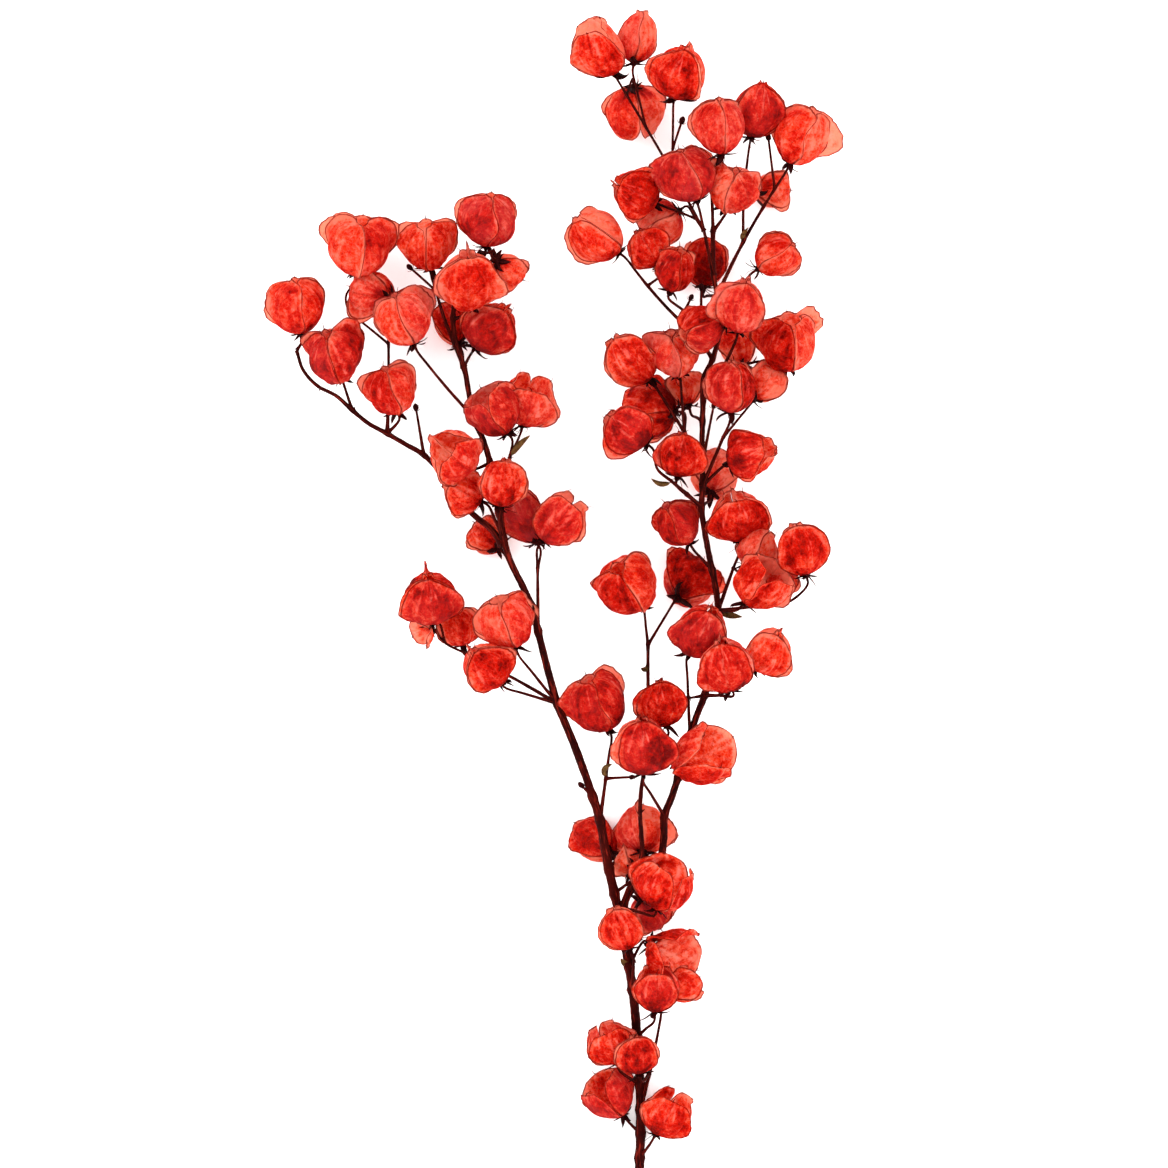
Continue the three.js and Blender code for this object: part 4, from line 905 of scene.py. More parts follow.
def seam_shapes(bloom, draw):
    """Three seams between neighbouring bracts: how high each one's two margins stand, and how they ripple."""
    up = math.atan2(bloom.upright[2, 1], bloom.upright[2, 0])
    seams = []
    for k in range(3):
        before = math.cos(bloom.bract_turn(k) - up)
        after = math.cos(bloom.bract_turn(k + 1) - up)
        tall = draw(WING_DRAW) * WING_SHARES.get(bloom.name, 1)
        short = max(tall - draw(WING_STEP_DRAW), LEAST_WING)
        lower_is_tall = draw((0, 1)) < LOWER_IS_TALL
        first_is_tall = (before < after) == lower_is_tall
        turn = bloom.bract_turn(k + 0.5)
        seams.append({
            "heights": [tall, short] if first_is_tall else [short, tall],
            "tall": 0 if first_is_tall else 1,
            "aim": bloom.upright @ np.array((math.cos(turn), math.sin(turn), 0)),
            "ripple": draw(RIPPLE_DRAW),
            "beats": draw(BEATS_DRAW),
            "phase": draw(CIRCLE),
            "lean": draw(LEAN_DRAW),
            "low_power": 1,
            "notches": [(draw(NOTCH_BEATS_DRAW), draw(CIRCLE)) for _ in range(2)],
        })
    if bloom.name in BROAD_WINGS:
        way, height = BROAD_WINGS[bloom.name]
        way = math.radians(way)
        seam = max(seams, key=lambda one: one["aim"][0] * math.cos(way) + one["aim"][1] * math.sin(way))
        seam["heights"][seam["tall"]] = height
        seam["low_power"] = math.log(MIDWAY) / math.log(BROADEST_AT.get(bloom.name, MIDWAY))
    return seams


def warp_of(draw):
    """Slow swells that push a whole bloom out of round, the same way for all three of its bracts."""
    swells = []
    for _ in range(WARPS):
        way, push = (np.array([draw((-1, 1)) for _ in range(3)]) for _ in range(2))
        way = way / np.linalg.norm(way) * draw(WARP_DRAW)
        swells.append((way, push / np.linalg.norm(push), draw(ABOUT_A_CIRCLE)))
    return swells


def warped(points, swells, bloom):
    """Moves the points of a bloom by its swells, more the further they are from its base."""
    share = points / bloom.radius
    held = smooth(np.linalg.norm(share, axis=-1), *WARP_HELD)[..., None]
    moved = points.copy()
    for way, push, phase in swells:
        moved += bloom.radius * WARP_HEIGHT * held * np.sin(share @ way + phase)[..., None] * push
    return moved


def bract_width(along, openness):
    """How wide a bract is along its length, as a share of its full width."""
    base = BASE_WIDTH + (1 - BASE_WIDTH) * np.clip(along / BASE_LENGTH, 0, 1)
    from_less, power_less, roundness_more = (share * openness for share in OPEN_TAPER)
    taper_from = TAPER_FROM - from_less
    taper = np.clip((along - taper_from) / (1 - taper_from), 0, 1)
    width = (1 - taper ** (TAPER_POWER - power_less)) ** (TAPER_ROUNDNESS + roundness_more)
    return base * np.maximum(width, TIP_WIDTH)


def margins(seams, across, along, stands, loose):
    """How far the margins stand out, where two bracts press together, and how far they lean aside."""
    edge = np.abs(across)
    wing = np.clip((edge - WING_FROM) / (1 - WING_FROM), 0, 1)
    wing = wing * (WING_STEP + (1 - WING_STEP) * smooth(wing, 0, WING_STEEP))
    rise, side = 0, 0
    for seam, on_side, which in ((seams[0], across < 0, 1), (seams[1], across >= 0, 0)):
        beats, phase = seam["notches"][which]
        height = seam["heights"][which]
        broad_part = np.sin(math.pi * along ** seam["low_power"]) ** BROAD_POWER
        height = min(height, TALLEST_WING) + max(height - TALLEST_WING, 0) * broad_part
        height = height * (1 + NOTCH_HEIGHT * loose * np.sin(2 * math.pi * beats * along + phase)
                           + FRILL_HEIGHT * np.sin(2 * math.pi * FRILL_BEATS * beats * along + 2 * phase))
        rise = rise + np.where(on_side, height * wing * stands, 0)
        bend = seam["ripple"] * np.sin(2 * math.pi * seam["beats"] * along + seam["phase"]) + seam["lean"]
        side = side + np.where(on_side, bend * wing, 0)
    point_height = (seams[0]["heights"][1] + seams[1]["heights"][0]) / 2
    rise = rise + point_height * stands * (1 - wing) * smooth(along, CROWN_FROM, 1.0)
    return wing, rise, side


def dented(across, along, turned, loose, draw):
    """Dents, soft folds from the base, and a shallow groove down the middle."""
    rise = 0
    for _ in range(DENTS):
        column, row = draw(DENT_ACROSS_DRAW), draw(DENT_ALONG_DRAW)
        wide, long = draw(DENT_WIDTH_DRAW), draw(DENT_LENGTH_DRAW)
        dent = np.exp(-((across - column) / wide) ** 2 - ((along - row) / long) ** 2)
        rise = rise + draw(DENT_DRAW) * loose * dent
    beats = draw(FOLD_BEATS_DRAW) * turned + draw(FOLD_SLANT_DRAW) * along
    rise = rise + FOLD_HEIGHT * loose * np.sin(2 * math.pi * beats + draw(ABOUT_A_CIRCLE))
    return rise, GROOVE_DEPTH * np.exp(-(across / GROOVE_WIDTH) ** 2)


def bract_sheet(bloom, bract, seams, whole, draw):
    """The middle of one bract's paper as a grid in the bloom's frame, and how near the rim each point is."""
    across = np.linspace(-1, 1, ACROSS_POINTS)[None, :]
    along = np.linspace(0, 1, ALONG_POINTS)[:, None]
    edge = np.abs(across)
    tip = np.clip((along - TIP_FROM) / (1 - TIP_FROM), 0, 1)
    swell = np.sin(math.pi * along)
    loose = CRUMPLE if bloom.name in CRUMPLED else 1
    openness = bract["open"] ** 2
    reach = MOST_CLOSED - OPENING * openness
    spread = (MOST_CLOSED / reach) ** OPEN_SPREAD
    radius = bloom.radius * (BROAD_BODY if bloom.name in BROAD_WINGS else 1) * spread
    half = bloom.half * spread
    angle = math.pi * reach * np.clip(along / TIP_FROM, 0, 1)
    width = bract_width(along, openness)
    turned = np.sign(across) * (1 - (1 - edge) ** SEAM_SQUEEZE)
    turn = bract["turn"] + turned * HALF_WIDTH * width + whole["bow"] * swell

    # The body of the bract, and which way is out from it
    ripple = np.sin(WAVES_ALONG * along + WAVES_ACROSS * across + bract["phase"])
    wave = bract["wave"] * ripple * edge * swell
    curl = (TIP_CURL + OPEN_TIP_CURL * openness) * tip * bract["curl"]
    flare = SEAM_FLARE * edge ** SEAM_SHARPNESS * swell * bract["flare"]
    out = radius * (FACE_SHARE * np.sin(angle) + flare + curl) + wave
    up = BODY_HEIGHT * half * (1 - np.cos(angle))
    up = up - 2 * half * whole["dip"] * smooth(along, DIP_FROM, 1.0)
    up = up + 2 * half * CROWN_TIP * tip * (1 - TIP_DROOP * bract["open"])
    away_out, away_up = half * np.sin(angle), -radius * np.cos(angle)
    away = np.hypot(away_out, away_up)
    away_out, away_up = away_out / away, away_up / away

    # What stands out from the body: the margins, and the dents and folds of the face
    stands = (1 - np.cos(np.minimum(angle, math.pi / 2))) * (NARROW_STAND + (1 - NARROW_STAND) * width)
    stands = stands * (1 - CROWN_DROP * smooth(along, *CROWN_FADE))
    wing, wing_rise, side = margins(seams, across, along, stands, loose)
    dents, groove = dented(across, along, turned, loose, draw)
    rise = radius * (dents * (1 - wing) - groove) * swell
    wing_rise, side = radius * wing_rise, radius * side * swell * width ** 2

    far = np.maximum(out + (rise + wing_rise) * away_out, HUB_RADIUS)
    points = np.stack((
        far * np.cos(turn) - side * np.sin(turn),
        far * np.sin(turn) + side * np.cos(turn),
        up + (rise + wing_rise * smooth(along, *WING_LIFT)) * away_up,
    ), axis=-1)
    points = warped(points, whole["swells"], bloom)
    rim = np.concatenate((points[:, 0], points[-1], points[:, -1]))
    gaps = np.linalg.norm(points[:, :, None, :] - rim[None, None, :, :], axis=-1)
    return points, gaps.min(axis=-1)


def bloom_grids(bloom):
    """The three bracts of a bloom, each as its grid, how near the rim it is, and its own shape."""
    draw = Draw(bloom.name, SHEET_SEED)
    seams = seam_shapes(bloom, draw)
    bow, dip = draw(BOW_DRAW), max(draw(DIP_DRAW), 0)
    whole = {"swells": warp_of(draw), "bow": BOWS.get(bloom.name, bow), "dip": DIPS.get(bloom.name, dip)}
    grids = [(*bract_sheet(bloom, bract, (seams[k - 1], seams[k]), whole, draw), bract)
             for k, bract in enumerate(bract_shapes(bloom))]
    return grids, draw


def bloom_sheets(blooms):
    """Grids of all the blooms' bracts, as points, faces and what their finish reads."""
    index = np.arange(ALONG_POINTS * ACROSS_POINTS).reshape(ALONG_POINTS, ACROSS_POINTS)
    cell = np.stack((index[:-1, :-1], index[:-1, 1:], index[1:, 1:], index[1:, :-1]), axis=-1).reshape(-1, 4)
    across, along = np.meshgrid(np.linspace(0, 1, ACROSS_POINTS), np.linspace(0, 1, ALONG_POINTS))
    points, faces, values = [], [], {"tint": [], "dust": [], "rim": []}
    for bloom in blooms:
        grids, draw = bloom_grids(bloom)
        paler = (bloom.name in PALE) - (bloom.name in DEEP)
        tint = draw(BLOOM_TINT_DRAW) / (2 if paler else 1) + TINT_STEP * paler
        # Painted light: a bloom that faces down is coloured paler
        tint += UNDER_PAINTED_LIGHT * (bloom.axis[2] < 0)
        facing_shade = BROAD_FACING_SHADE if bloom.name in BROAD_WINGS else FACING_SHADE
        for sheet, rim, bract in grids:
            faces.append(cell + index.size * len(points))
            placed = bloom.place(sheet.reshape(-1, 3))
            placed[:, 2] = np.maximum(placed[:, 2], SHEET_LIFT)
            points.append(placed)
            # Painted shade: the more a bract faces up, the deeper its colour
            painted_facing_shade = facing_shade * (bloom.upright[2] @ bract["away"] - 0.5)
            bract_tint = max(MEAN_TINT + tint - painted_facing_shade + draw(BRACT_TINT_DRAW), LEAST_TINT)
            # How much painted rose sheen lies over this bract
            dust = max(draw(SHEEN_DRAW) + SHEEN_STEP * (bloom.name in ROSE_SHEENED), 0)
            for key, value in (("tint", bract_tint), ("dust", dust), ("rim", rim.ravel())):
                values[key].append(np.broadcast_to(value, index.size))
    uv = np.tile(np.column_stack((across.ravel(), along.ravel())), (len(points), 1))
    values = {key: np.concatenate(parts) for key, parts in values.items()}
    return np.concatenate(points), np.concatenate(faces), uv, values


# Meshes

def corners_of(mesh):
    """The places of a mesh's vertices, one row each."""
    corners = np.empty(len(mesh.vertices) * 3)
    mesh.vertices.foreach_get("co", corners)
    return corners.reshape(-1, 3)


@lru_cache(maxsize=1)
def plan_shift():
    """Where the plan's origin is in the frame, in metres, read from the ring at the stem's cut end."""
    corners = corners_of(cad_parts["woody_stem"].data)
    lowest = corners[:, 1].min()
    ring = corners[corners[:, 1] < lowest + 0.5 * MM]
    middle = (ring[:, 0].min() + ring[:, 0].max()) / 2
    return np.array((middle, lowest, 0)) - np.array(plan(STEM_COLUMN, CUT_ROW)) * MM


def framed(points):
    """Plan millimetres as metres in the frame."""
    return np.asarray(points) * MM + plan_shift()


def shown(name, data):
    thing = bpy.data.objects.new(name, data)
    bpy.context.scene.collection.objects.link(thing)
    return thing


def smoothed(mesh):
    mesh.polygons.foreach_set("use_smooth", np.ones(len(mesh.polygons), dtype=bool))


def mesh_object(name, points, faces, finish=None):
    mesh = bpy.data.meshes.new(name)
    mesh.from_pydata([tuple(point) for point in points], [], [tuple(face) for face in faces])
    smoothed(mesh)
    if finish:
        mesh.materials.append(finish)
    return shown(name, mesh)


def settled(thing, name):
    """The evaluated object as a plain mesh with no modifiers left, under its final name."""
    bpy.context.view_layer.update()
    mesh = bpy.data.meshes.new_from_object(thing.evaluated_get(bpy.context.evaluated_depsgraph_get()))
    mesh.name = name
    bpy.data.objects.remove(thing)
    return shown(name, mesh)


def kept_crisp(piece):
    """Smooth shading that still turns sharply round a thin rim."""
    smoothed(piece.data)
    piece.data.set_sharp_from_angle(angle=CREASE_ANGLE)


def finished(piece, slot, *nodes):
    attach(piece, "root")
    if nodes:
        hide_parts(*nodes)


def set_inputs(modifier, **values):
    """Sets a Geometry Nodes modifier's inputs by their sockets' identifiers."""
    for item in modifier.node_group.interface.items_tree:
        key = item.name.replace(" ", "_").lower()
        if item.item_type == "SOCKET" and item.in_out == "INPUT" and key in values:
            modifier[item.identifier] = values.pop(key)
    if values:
        raise KeyError(f"no modifier input {list(values)}")


# Node trees

class Tree:
    """A node tree in the making. An input that is a socket is linked, and any other is set as a value."""

    def __init__(self, tree):
        self.tree = tree

    def plug(self, value, socket):
        if isinstance(value, bpy.types.NodeSocket):
            self.tree.links.new(value, socket)
        else:
            socket.default_value = value

    def node(self, kind, settings=None, **inputs):
        made = self.tree.nodes.new(kind)
        for key, value in (settings or {}).items():
            setattr(made, key, value)
        for key, value in inputs.items():
            name = key.replace("_", " ")
            found = [socket for socket in made.inputs if name == socket.name and socket.enabled]
            found = found or [socket for socket in made.inputs if key == socket.identifier]
            if not found:
                raise KeyError(f"{kind} has no input {name}")
            self.plug(value, found[0])
        return made

    def maths(self, kind, operation, values, **settings):
        made = self.node(kind, {"operation": operation, **settings})
        for value, socket in zip(values, made.inputs):
            self.plug(value, socket)
        return made.outputs[0]

    def number(self, operation, *values, clamped=False):
        return self.maths("ShaderNodeMath", operation, values, use_clamp=clamped)

    def vector(self, operation, *values):
        return self.maths("ShaderNodeVectorMath", operation, values)

    def plus(self, one, other):
        return self.number("ADD", one, other)

    def minus(self, one, other):
        return self.number("SUBTRACT", one, other)

    def times(self, one, other):
        return self.number("MULTIPLY", one, other)

    def over(self, one, other):
        return self.number("DIVIDE", one, other)

    def ranged(self, value, low, high, start=0.0, end=1.0):
        """A value eased from start to end as it goes from low to high."""
        made = self.node("ShaderNodeMapRange", {"interpolation_type": "SMOOTHSTEP"}, Value=value,
                         From_Min=low, From_Max=high, To_Min=start, To_Max=end)
        return made.outputs["Result"]

    def mixed(self, factor, one, other):
        """One colour that gives way to another as the factor goes from 0 to 1."""
        one, other = (colour if isinstance(colour, bpy.types.NodeSocket) else (*colour, 1)
                      for colour in (one, other))
        made = self.node("ShaderNodeMix", {"data_type": "RGBA"}, Factor_Float=factor,
                         A_Color=one, B_Color=other)
        return next(socket for socket in made.outputs if socket.identifier == "Result_Color")

    def place(self):
        return self.node("ShaderNodeTexCoord").outputs["Object"]

    def attribute(self, name, output="Fac"):
        return self.node("ShaderNodeAttribute", {"attribute_name": name}).outputs[output]

    def noise(self, place, scale, detail, output="Fac", settings=None, **more):
        made = self.node("ShaderNodeTexNoise", settings, Vector=place, Scale=scale, Detail=detail, **more)
        return made.outputs[output]

    def group(self, name, build, **inputs):
        """The outputs of a node group, which is built once and found again by its name."""
        settings = {"node_tree": bpy.data.node_groups.get(name) or build(name)}
        return self.node("ShaderNodeGroup", settings, **inputs).outputs

    def mottle(self, size, speckle, shift=0.0):
        return self.group("Mottle", mottle_group, Size=size, Speckle=speckle, Shift=shift)["Value"]

    def bump(self, height, strength, distance):
        return self.node("ShaderNodeBump", Strength=strength, Distance=distance, Height=height).outputs[0]

    def surface(self, colour, roughness, specular, **more):
        return self.node("ShaderNodeBsdfPrincipled", Base_Color=colour, Roughness=roughness,
                         Specular_IOR_Level=specular, **more).outputs[0]


def new_material(name):
    """A material, its empty tree, and the socket that its surface goes into."""
    material = bpy.data.materials.new(name)
    material.use_nodes = True
    material.node_tree.nodes.clear()
    tree = Tree(material.node_tree)
    return material, tree, tree.node("ShaderNodeOutputMaterial").inputs["Surface"]


def new_group(name, kind, inputs, outputs):
    """A node group's tree, what it is given and what it puts out, each socket by its name."""
    group = bpy.data.node_groups.new(name, kind)
    for in_out, sockets in (("INPUT", inputs), ("OUTPUT", outputs)):
        for label, value_kind, *default in sockets:
            socket_type = f"NodeSocket{value_kind}"
            socket = group.interface.new_socket(label, in_out=in_out, socket_type=socket_type)
            if default:
                socket.default_value = default[0]
    return Tree(group), group.nodes.new("NodeGroupInput").outputs, group.nodes.new("NodeGroupOutput").inputs


def mottle_group(name):
    """Soft blotches with a finer speckle over them, from 0 to 1."""
    tree, given, put = new_group(
        name, "ShaderNodeTree",
        (("Size", "Float", 0.012), ("Speckle", "Float", 0.3), ("Shift", "Float", 0.0)),
        (("Value", "Float"),),
    )
    shift = tree.node("ShaderNodeCombineXYZ", X=given["Shift"]).outputs[0]
    moved = tree.vector("ADD", tree.place(), shift)
    scale = tree.over(1.0, given["Size"])
    broad = tree.noise(moved, scale, detail=3.0, Distortion=0.6)
    fine = tree.noise(moved, tree.times(scale, FINER), detail=2.0)
    mix = tree.node("ShaderNodeMix", {"data_type": "FLOAT"}, Factor_Float=given["Speckle"],
                    A_Float=broad, B_Float=fine)
    tree.plug(mix.outputs[0], put["Value"])
    return tree.tree


def vein_group(name):
    """A bract's veins: one down the middle, side veins that curve up from it, and a fine net between them."""
    tree, given, put = new_group(
        name, "ShaderNodeTree",
        (("Across", "Float"), ("Along", "Float"), ("Net Size", "Float", 0.0026), ("Shift", "Float", 0.0)),
        (("Line", "Float"), ("Net", "Float"), ("Streak", "Float")),
    )
    place = tree.place()
    off = tree.number("ABSOLUTE", tree.times(tree.minus(given["Across"], 0.5), 2.0))
    middle = tree.ranged(off, 0.0, MIDDLE_VEIN, 1.0, 0.0)
    bow = tree.times(tree.number("POWER", off, VEIN_BOW_POWER), VEIN_BOW)
    wander = tree.times(tree.noise(place, scale=150.0, detail=2.0), VEIN_WANDER)
    climb = tree.plus(tree.minus(given["Along"], bow), wander)
    beat = tree.number("FRACT", tree.times(climb, SIDE_VEINS))
    sides = tree.ranged(tree.number("ABSOLUTE", tree.minus(beat, 0.5)), 0.0, SIDE_VEIN, 1.0, 0.0)
    sides = tree.times(sides, tree.ranged(off, *VEIN_FADE, 1.0, 0.0))
    tree.plug(tree.number("MAXIMUM", middle, sides, clamped=True), put["Line"])

    strayed = tree.noise(place, scale=330.0, detail=3.0, output="Color")
    bent = tree.vector("MULTIPLY_ADD", strayed, (NET_WANDER,) * 3, place)
    net = tree.node("ShaderNodeTexVoronoi", {"feature": "DISTANCE_TO_EDGE"}, Vector=bent,
                    Scale=tree.over(1.0, given["Net Size"])).outputs["Distance"]
    tree.plug(tree.ranged(net, 0.0, NET_THREAD, 1.0, 0.0), put["Net"])

    fan = tree.node("ShaderNodeCombineXYZ", X=tree.times(given["Across"], STREAKS_ACROSS),
                    Y=tree.times(climb, STREAKS_ALONG), Z=given["Shift"]).outputs[0]
    tree.plug(tree.noise(fan, scale=1.0, detail=4.0, Distortion=0.5), put["Streak"])
    return tree.tree


def bract_finish(look):
    """Thin dyed paper that light shines through, dark along its very edge, with painted light that pales it
    towards the margins, painted shade at its foot, and painted sheen and highlights.
    """
    material, tree, output = new_material("dried_bract")
    uv = tree.node("ShaderNodeUVMap", {"uv_map": "Bract"}).outputs["UV"]
    uv = tree.node("ShaderNodeSeparateXYZ", Vector=uv).outputs
    across, along = uv["X"], uv["Y"]
    tint, dust, rim = (tree.attribute(name) for name in ("tint", "dust", "rim"))
    mottle = tree.mottle(size=0.008, speckle=0.18)
    cloud = tree.mottle(size=0.024, speckle=0.15, shift=0.7)
    grain = tree.mottle(size=0.0026, speckle=0.3, shift=0.4)
    shift = tree.times(tint, STREAK_SHIFT)
    veins = tree.group("Bract veins", vein_group, Across=across, Along=along, Shift=shift)
    line, net, streak = (veins[name] for name in ("Line", "Net", "Streak"))

    # The dye lies deep in the blotches; painted shade deepens it at the foot, and painted light makes it
    # paler towards the margins
    tone = tree.plus(tint, tree.ranged(rim, 0.0, *PAINTED_GLOW_MARGIN, 0.0))
    for share, strength in ((mottle, 1.2), (cloud, 1.25), (grain, 0.95), (streak, 0.7)):
        tone = tree.plus(tone, tree.times(tree.minus(share, 0.5), strength))
    # Painted shade: deeper colour towards the foot of each bract
    tone = tree.number("SUBTRACT", tone, tree.ranged(along, 0.0, *FOOT_SHADE_DEPTH, 0.0), clamped=True)
    colour = look.deep
    for name, low, high in DYES:
        colour = tree.mixed(tree.ranged(tone, low, high), colour, getattr(look, name))

    # Painted rose sheen, painted highlight streaks, the foot's painted shade, the veins, worn specks and the
    # dark edge lie over the dye
    # Painted sheen: rose patches where the clouds of the mottle allow
    sheened = tree.number("MULTIPLY", dust, tree.ranged(cloud, 0.38, 0.6, 0.3, 0.95), clamped=True)
    # Painted highlights: pale pink streaks that follow the veins and folds
    painted_highlight = tree.times(tree.ranged(streak, 0.54, 0.72), tree.ranged(mottle, 0.4, 0.62))
    frosted = tree.times(tree.ranged(grain, 0.5, 0.66), tree.ranged(tone, 0.4, 0.9, 0.0, 0.45))
    edge = tree.times(tree.ranged(rim, *MARGIN, 1.0, 0.0), tree.ranged(mottle, 0.3, 0.6, 0.4, 0.9))
    for share, over in (
            # painted rose sheen
            (tree.times(sheened, 0.6), look.sheen_rose),
            # painted highlights: pale pink streaks along the folds
            (tree.times(painted_highlight, tree.ranged(tone, 0.15, 0.6, 0.1, 0.5)), look.pink),
            # painted shade at the foot of each bract
            (tree.ranged(along, 0.0, *FOOT_SHADE, 0.0), look.base),
            (tree.times(line, 0.2), look.deep),
            (tree.times(net, tree.ranged(tone, 0.25, 0.8, 0.03, 0.36)), look.vein),
            (frosted, look.pink),
            (edge, look.margin),
    ):
        colour = tree.mixed(share, colour, over)

    crumple = tree.noise(tree.place(), scale=260.0, detail=4.0, Roughness=0.62, Distortion=0.5)
    height = tree.plus(tree.plus(crumple, tree.times(line, 0.3)), tree.times(mottle, 0.8))
    normal = tree.bump(height, strength=0.8, distance=0.0012)
    roughness = tree.plus(0.5, tree.times(mottle, 0.3))
    face = tree.surface(colour, roughness, specular=0.04, Normal=normal)
    lit = tree.node("ShaderNodeGamma", Color=colour, Gamma=look.thinness).outputs[0]
    lit = tree.mixed(tree.times(edge, 0.7), lit, look.margin)
    through = tree.node("ShaderNodeBsdfTranslucent", Color=lit, Normal=normal).outputs[0]
    body = tree.node("ShaderNodeMixShader")
    for value, socket in zip((look.translucency, face, through), body.inputs):
        tree.plug(value, socket)
    tree.plug(body.outputs[0], output)
    return material


def bark_finish(look):
    """Dark maroon bark with paler streaks along it, lengthwise wrinkles and small warts."""
    material, tree, output = new_material("maroon_bark")
    ring = tree.node("ShaderNodeSeparateXYZ", Vector=tree.attribute("ring", "Vector")).outputs
    round_x, round_y = (tree.times(ring[axis], BARK_ROUND) for axis in ("X", "Y"))
    run = tree.times(tree.attribute("run"), BARK_ALONG)
    drawn = tree.node("ShaderNodeCombineXYZ", X=round_x, Y=round_y, Z=run).outputs[0]
    streaks = tree.noise(drawn, scale=1.6, detail=4.0)
    mottle = tree.mottle(size=0.02, speckle=0.35)
    warts = tree.node("ShaderNodeTexVoronoi", Vector=tree.place(), Scale=420.0).outputs["Distance"]
    wart = tree.ranged(warts, *WART, 1.0, 0.0)
    colour = tree.mixed(tree.ranged(mottle, 0.35, 0.7), look.dark, look.middle)
    colour = tree.mixed(tree.ranged(streaks, 0.54, 0.7, 0.0, 0.8), colour, look.pale)
    colour = tree.mixed(tree.times(wart, 0.3), colour, look.pale)
    normal = tree.bump(tree.plus(streaks, tree.times(wart, 0.5)), strength=0.6, distance=0.0005)
    roughness = tree.plus(0.5, tree.times(streaks, 0.3))
    tree.plug(tree.surface(colour, roughness, specular=0.02, Normal=normal), output)
    return material


def dry_finish(name, dark, pale, size, shine):
    """Withered green or brown matter: blotched, finely creased and a little glossy where it is dark."""
    material, tree, output = new_material(name)
    mottle = tree.mottle(size, speckle=0.5)
    colour = tree.mixed(tree.ranged(mottle, 0.35, 0.68), dark, pale)
    creases = tree.noise(tree.place(), scale=900.0, detail=4.0)
    normal = tree.bump(creases, strength=0.5, distance=0.0004)
    roughness = tree.minus(0.75, tree.times(mottle, shine))
    tree.plug(tree.surface(colour, roughness, specular=0.02, Normal=normal), output)
    return material


def floor_finish(look):
    """Pale paint with a faint even grain."""
    material, tree, output = new_material("pale_floor")
    grain = tree.noise(tree.place(), scale=300.0, detail=2.0)
    colour = tree.mixed(tree.times(grain, 0.02), look.floor_colour, (0.8, 0.8, 0.8))
    tree.plug(tree.surface(colour, roughness=0.9, specular=0.1), output)
    return material


# Trees of Geometry Nodes

def roughened(tree, given, put, surface, size, factors, **more):
    """Ends a tree: its surface is pushed in and out along its normals, made real and given its material."""
    place = tree.node("GeometryNodeInputPosition").outputs[0]
    noise = tree.noise(place, tree.over(1.0, given[size]), settings={"noise_dimensions": "4D"},
                       W=given["Seed"], **more)
    push = tree.times(tree.minus(noise, 0.5), 2.0)
    for factor in factors:
        push = tree.times(push, factor)
    offset = tree.node("ShaderNodeVectorMath", {"operation": "SCALE"}, Scale=push)
    tree.plug(tree.node("GeometryNodeInputNormal").outputs["Normal"], offset.inputs[0])
    rough = tree.node("GeometryNodeSetPosition", Geometry=surface, Offset=offset.outputs[0])
    real = tree.node("GeometryNodeRealizeInstances", Geometry=rough.outputs[0])
    painted = tree.node("GeometryNodeSetMaterial", Geometry=real.outputs[0], Material=given["Material"])
    tree.plug(painted.outputs[0], put[0])
    return tree.tree


def paper_tree():
    """Sheets that crease at random, less so where a bract presses on its neighbour near its rim."""
    tree, given, put = new_group(
        "Paper creases", "GeometryNodeTree",
        (("Geometry", "Geometry"), ("Crease Height", "Float", 0.0003), ("Crease Size", "Float", 0.009),
         ("Seed", "Float", 3.0), ("Material", "Material")),
        (("Geometry", "Geometry"),),
    )
    rim = tree.node("GeometryNodeInputNamedAttribute", {"data_type": "FLOAT"}, Name="rim")
    factors = (tree.ranged(rim.outputs["Attribute"], *FREE_OF_RIM), given["Crease Height"])
    return roughened(tree, given, put, given["Geometry"], "Crease Size", factors,
                     detail=2.5, Distortion=0.8)


def branch_tree():
    """Closed tubes along curves, as thick as each curve's radius, with lumpy bark."""
    tree, given, put = new_group(
        "Branches", "GeometryNodeTree",
        (("Geometry", "Geometry"), ("Sides", "Int", 10), ("Bark Relief", "Float", 0.1),
         ("Relief Size", "Float", 0.004), ("Seed", "Float", 5.0), ("Material", "Material")),
        (("Geometry", "Geometry"),),
    )

    def stored(geometry, kind, name, value):
        return tree.node("GeometryNodeStoreNamedAttribute", {"data_type": kind, "domain": "POINT"},
                         Geometry=geometry, Name=name, Value=value).outputs[0]

    radius = tree.node("GeometryNodeInputRadius").outputs[0]
    run = tree.node("GeometryNodeSplineParameter").outputs["Length"]
    path = stored(stored(given["Geometry"], "FLOAT", "run", run), "FLOAT", "thick", radius)
    circle = tree.node("GeometryNodeCurvePrimitiveCircle", Resolution=given["Sides"], Radius=1.0).outputs[0]
    ring = stored(circle, "FLOAT_VECTOR", "ring", tree.node("GeometryNodeInputPosition").outputs[0])
    tube = tree.node("GeometryNodeCurveToMesh", Curve=path, Profile_Curve=ring, Scale=radius, Fill_Caps=True)
    thick = tree.node("GeometryNodeInputNamedAttribute", {"data_type": "FLOAT"}, Name="thick")
    relief = tree.times(given["Bark Relief"], thick.outputs["Attribute"])
    return roughened(tree, given, put, tube.outputs[0], "Relief Size", (relief,), detail=2.0)


# Wood

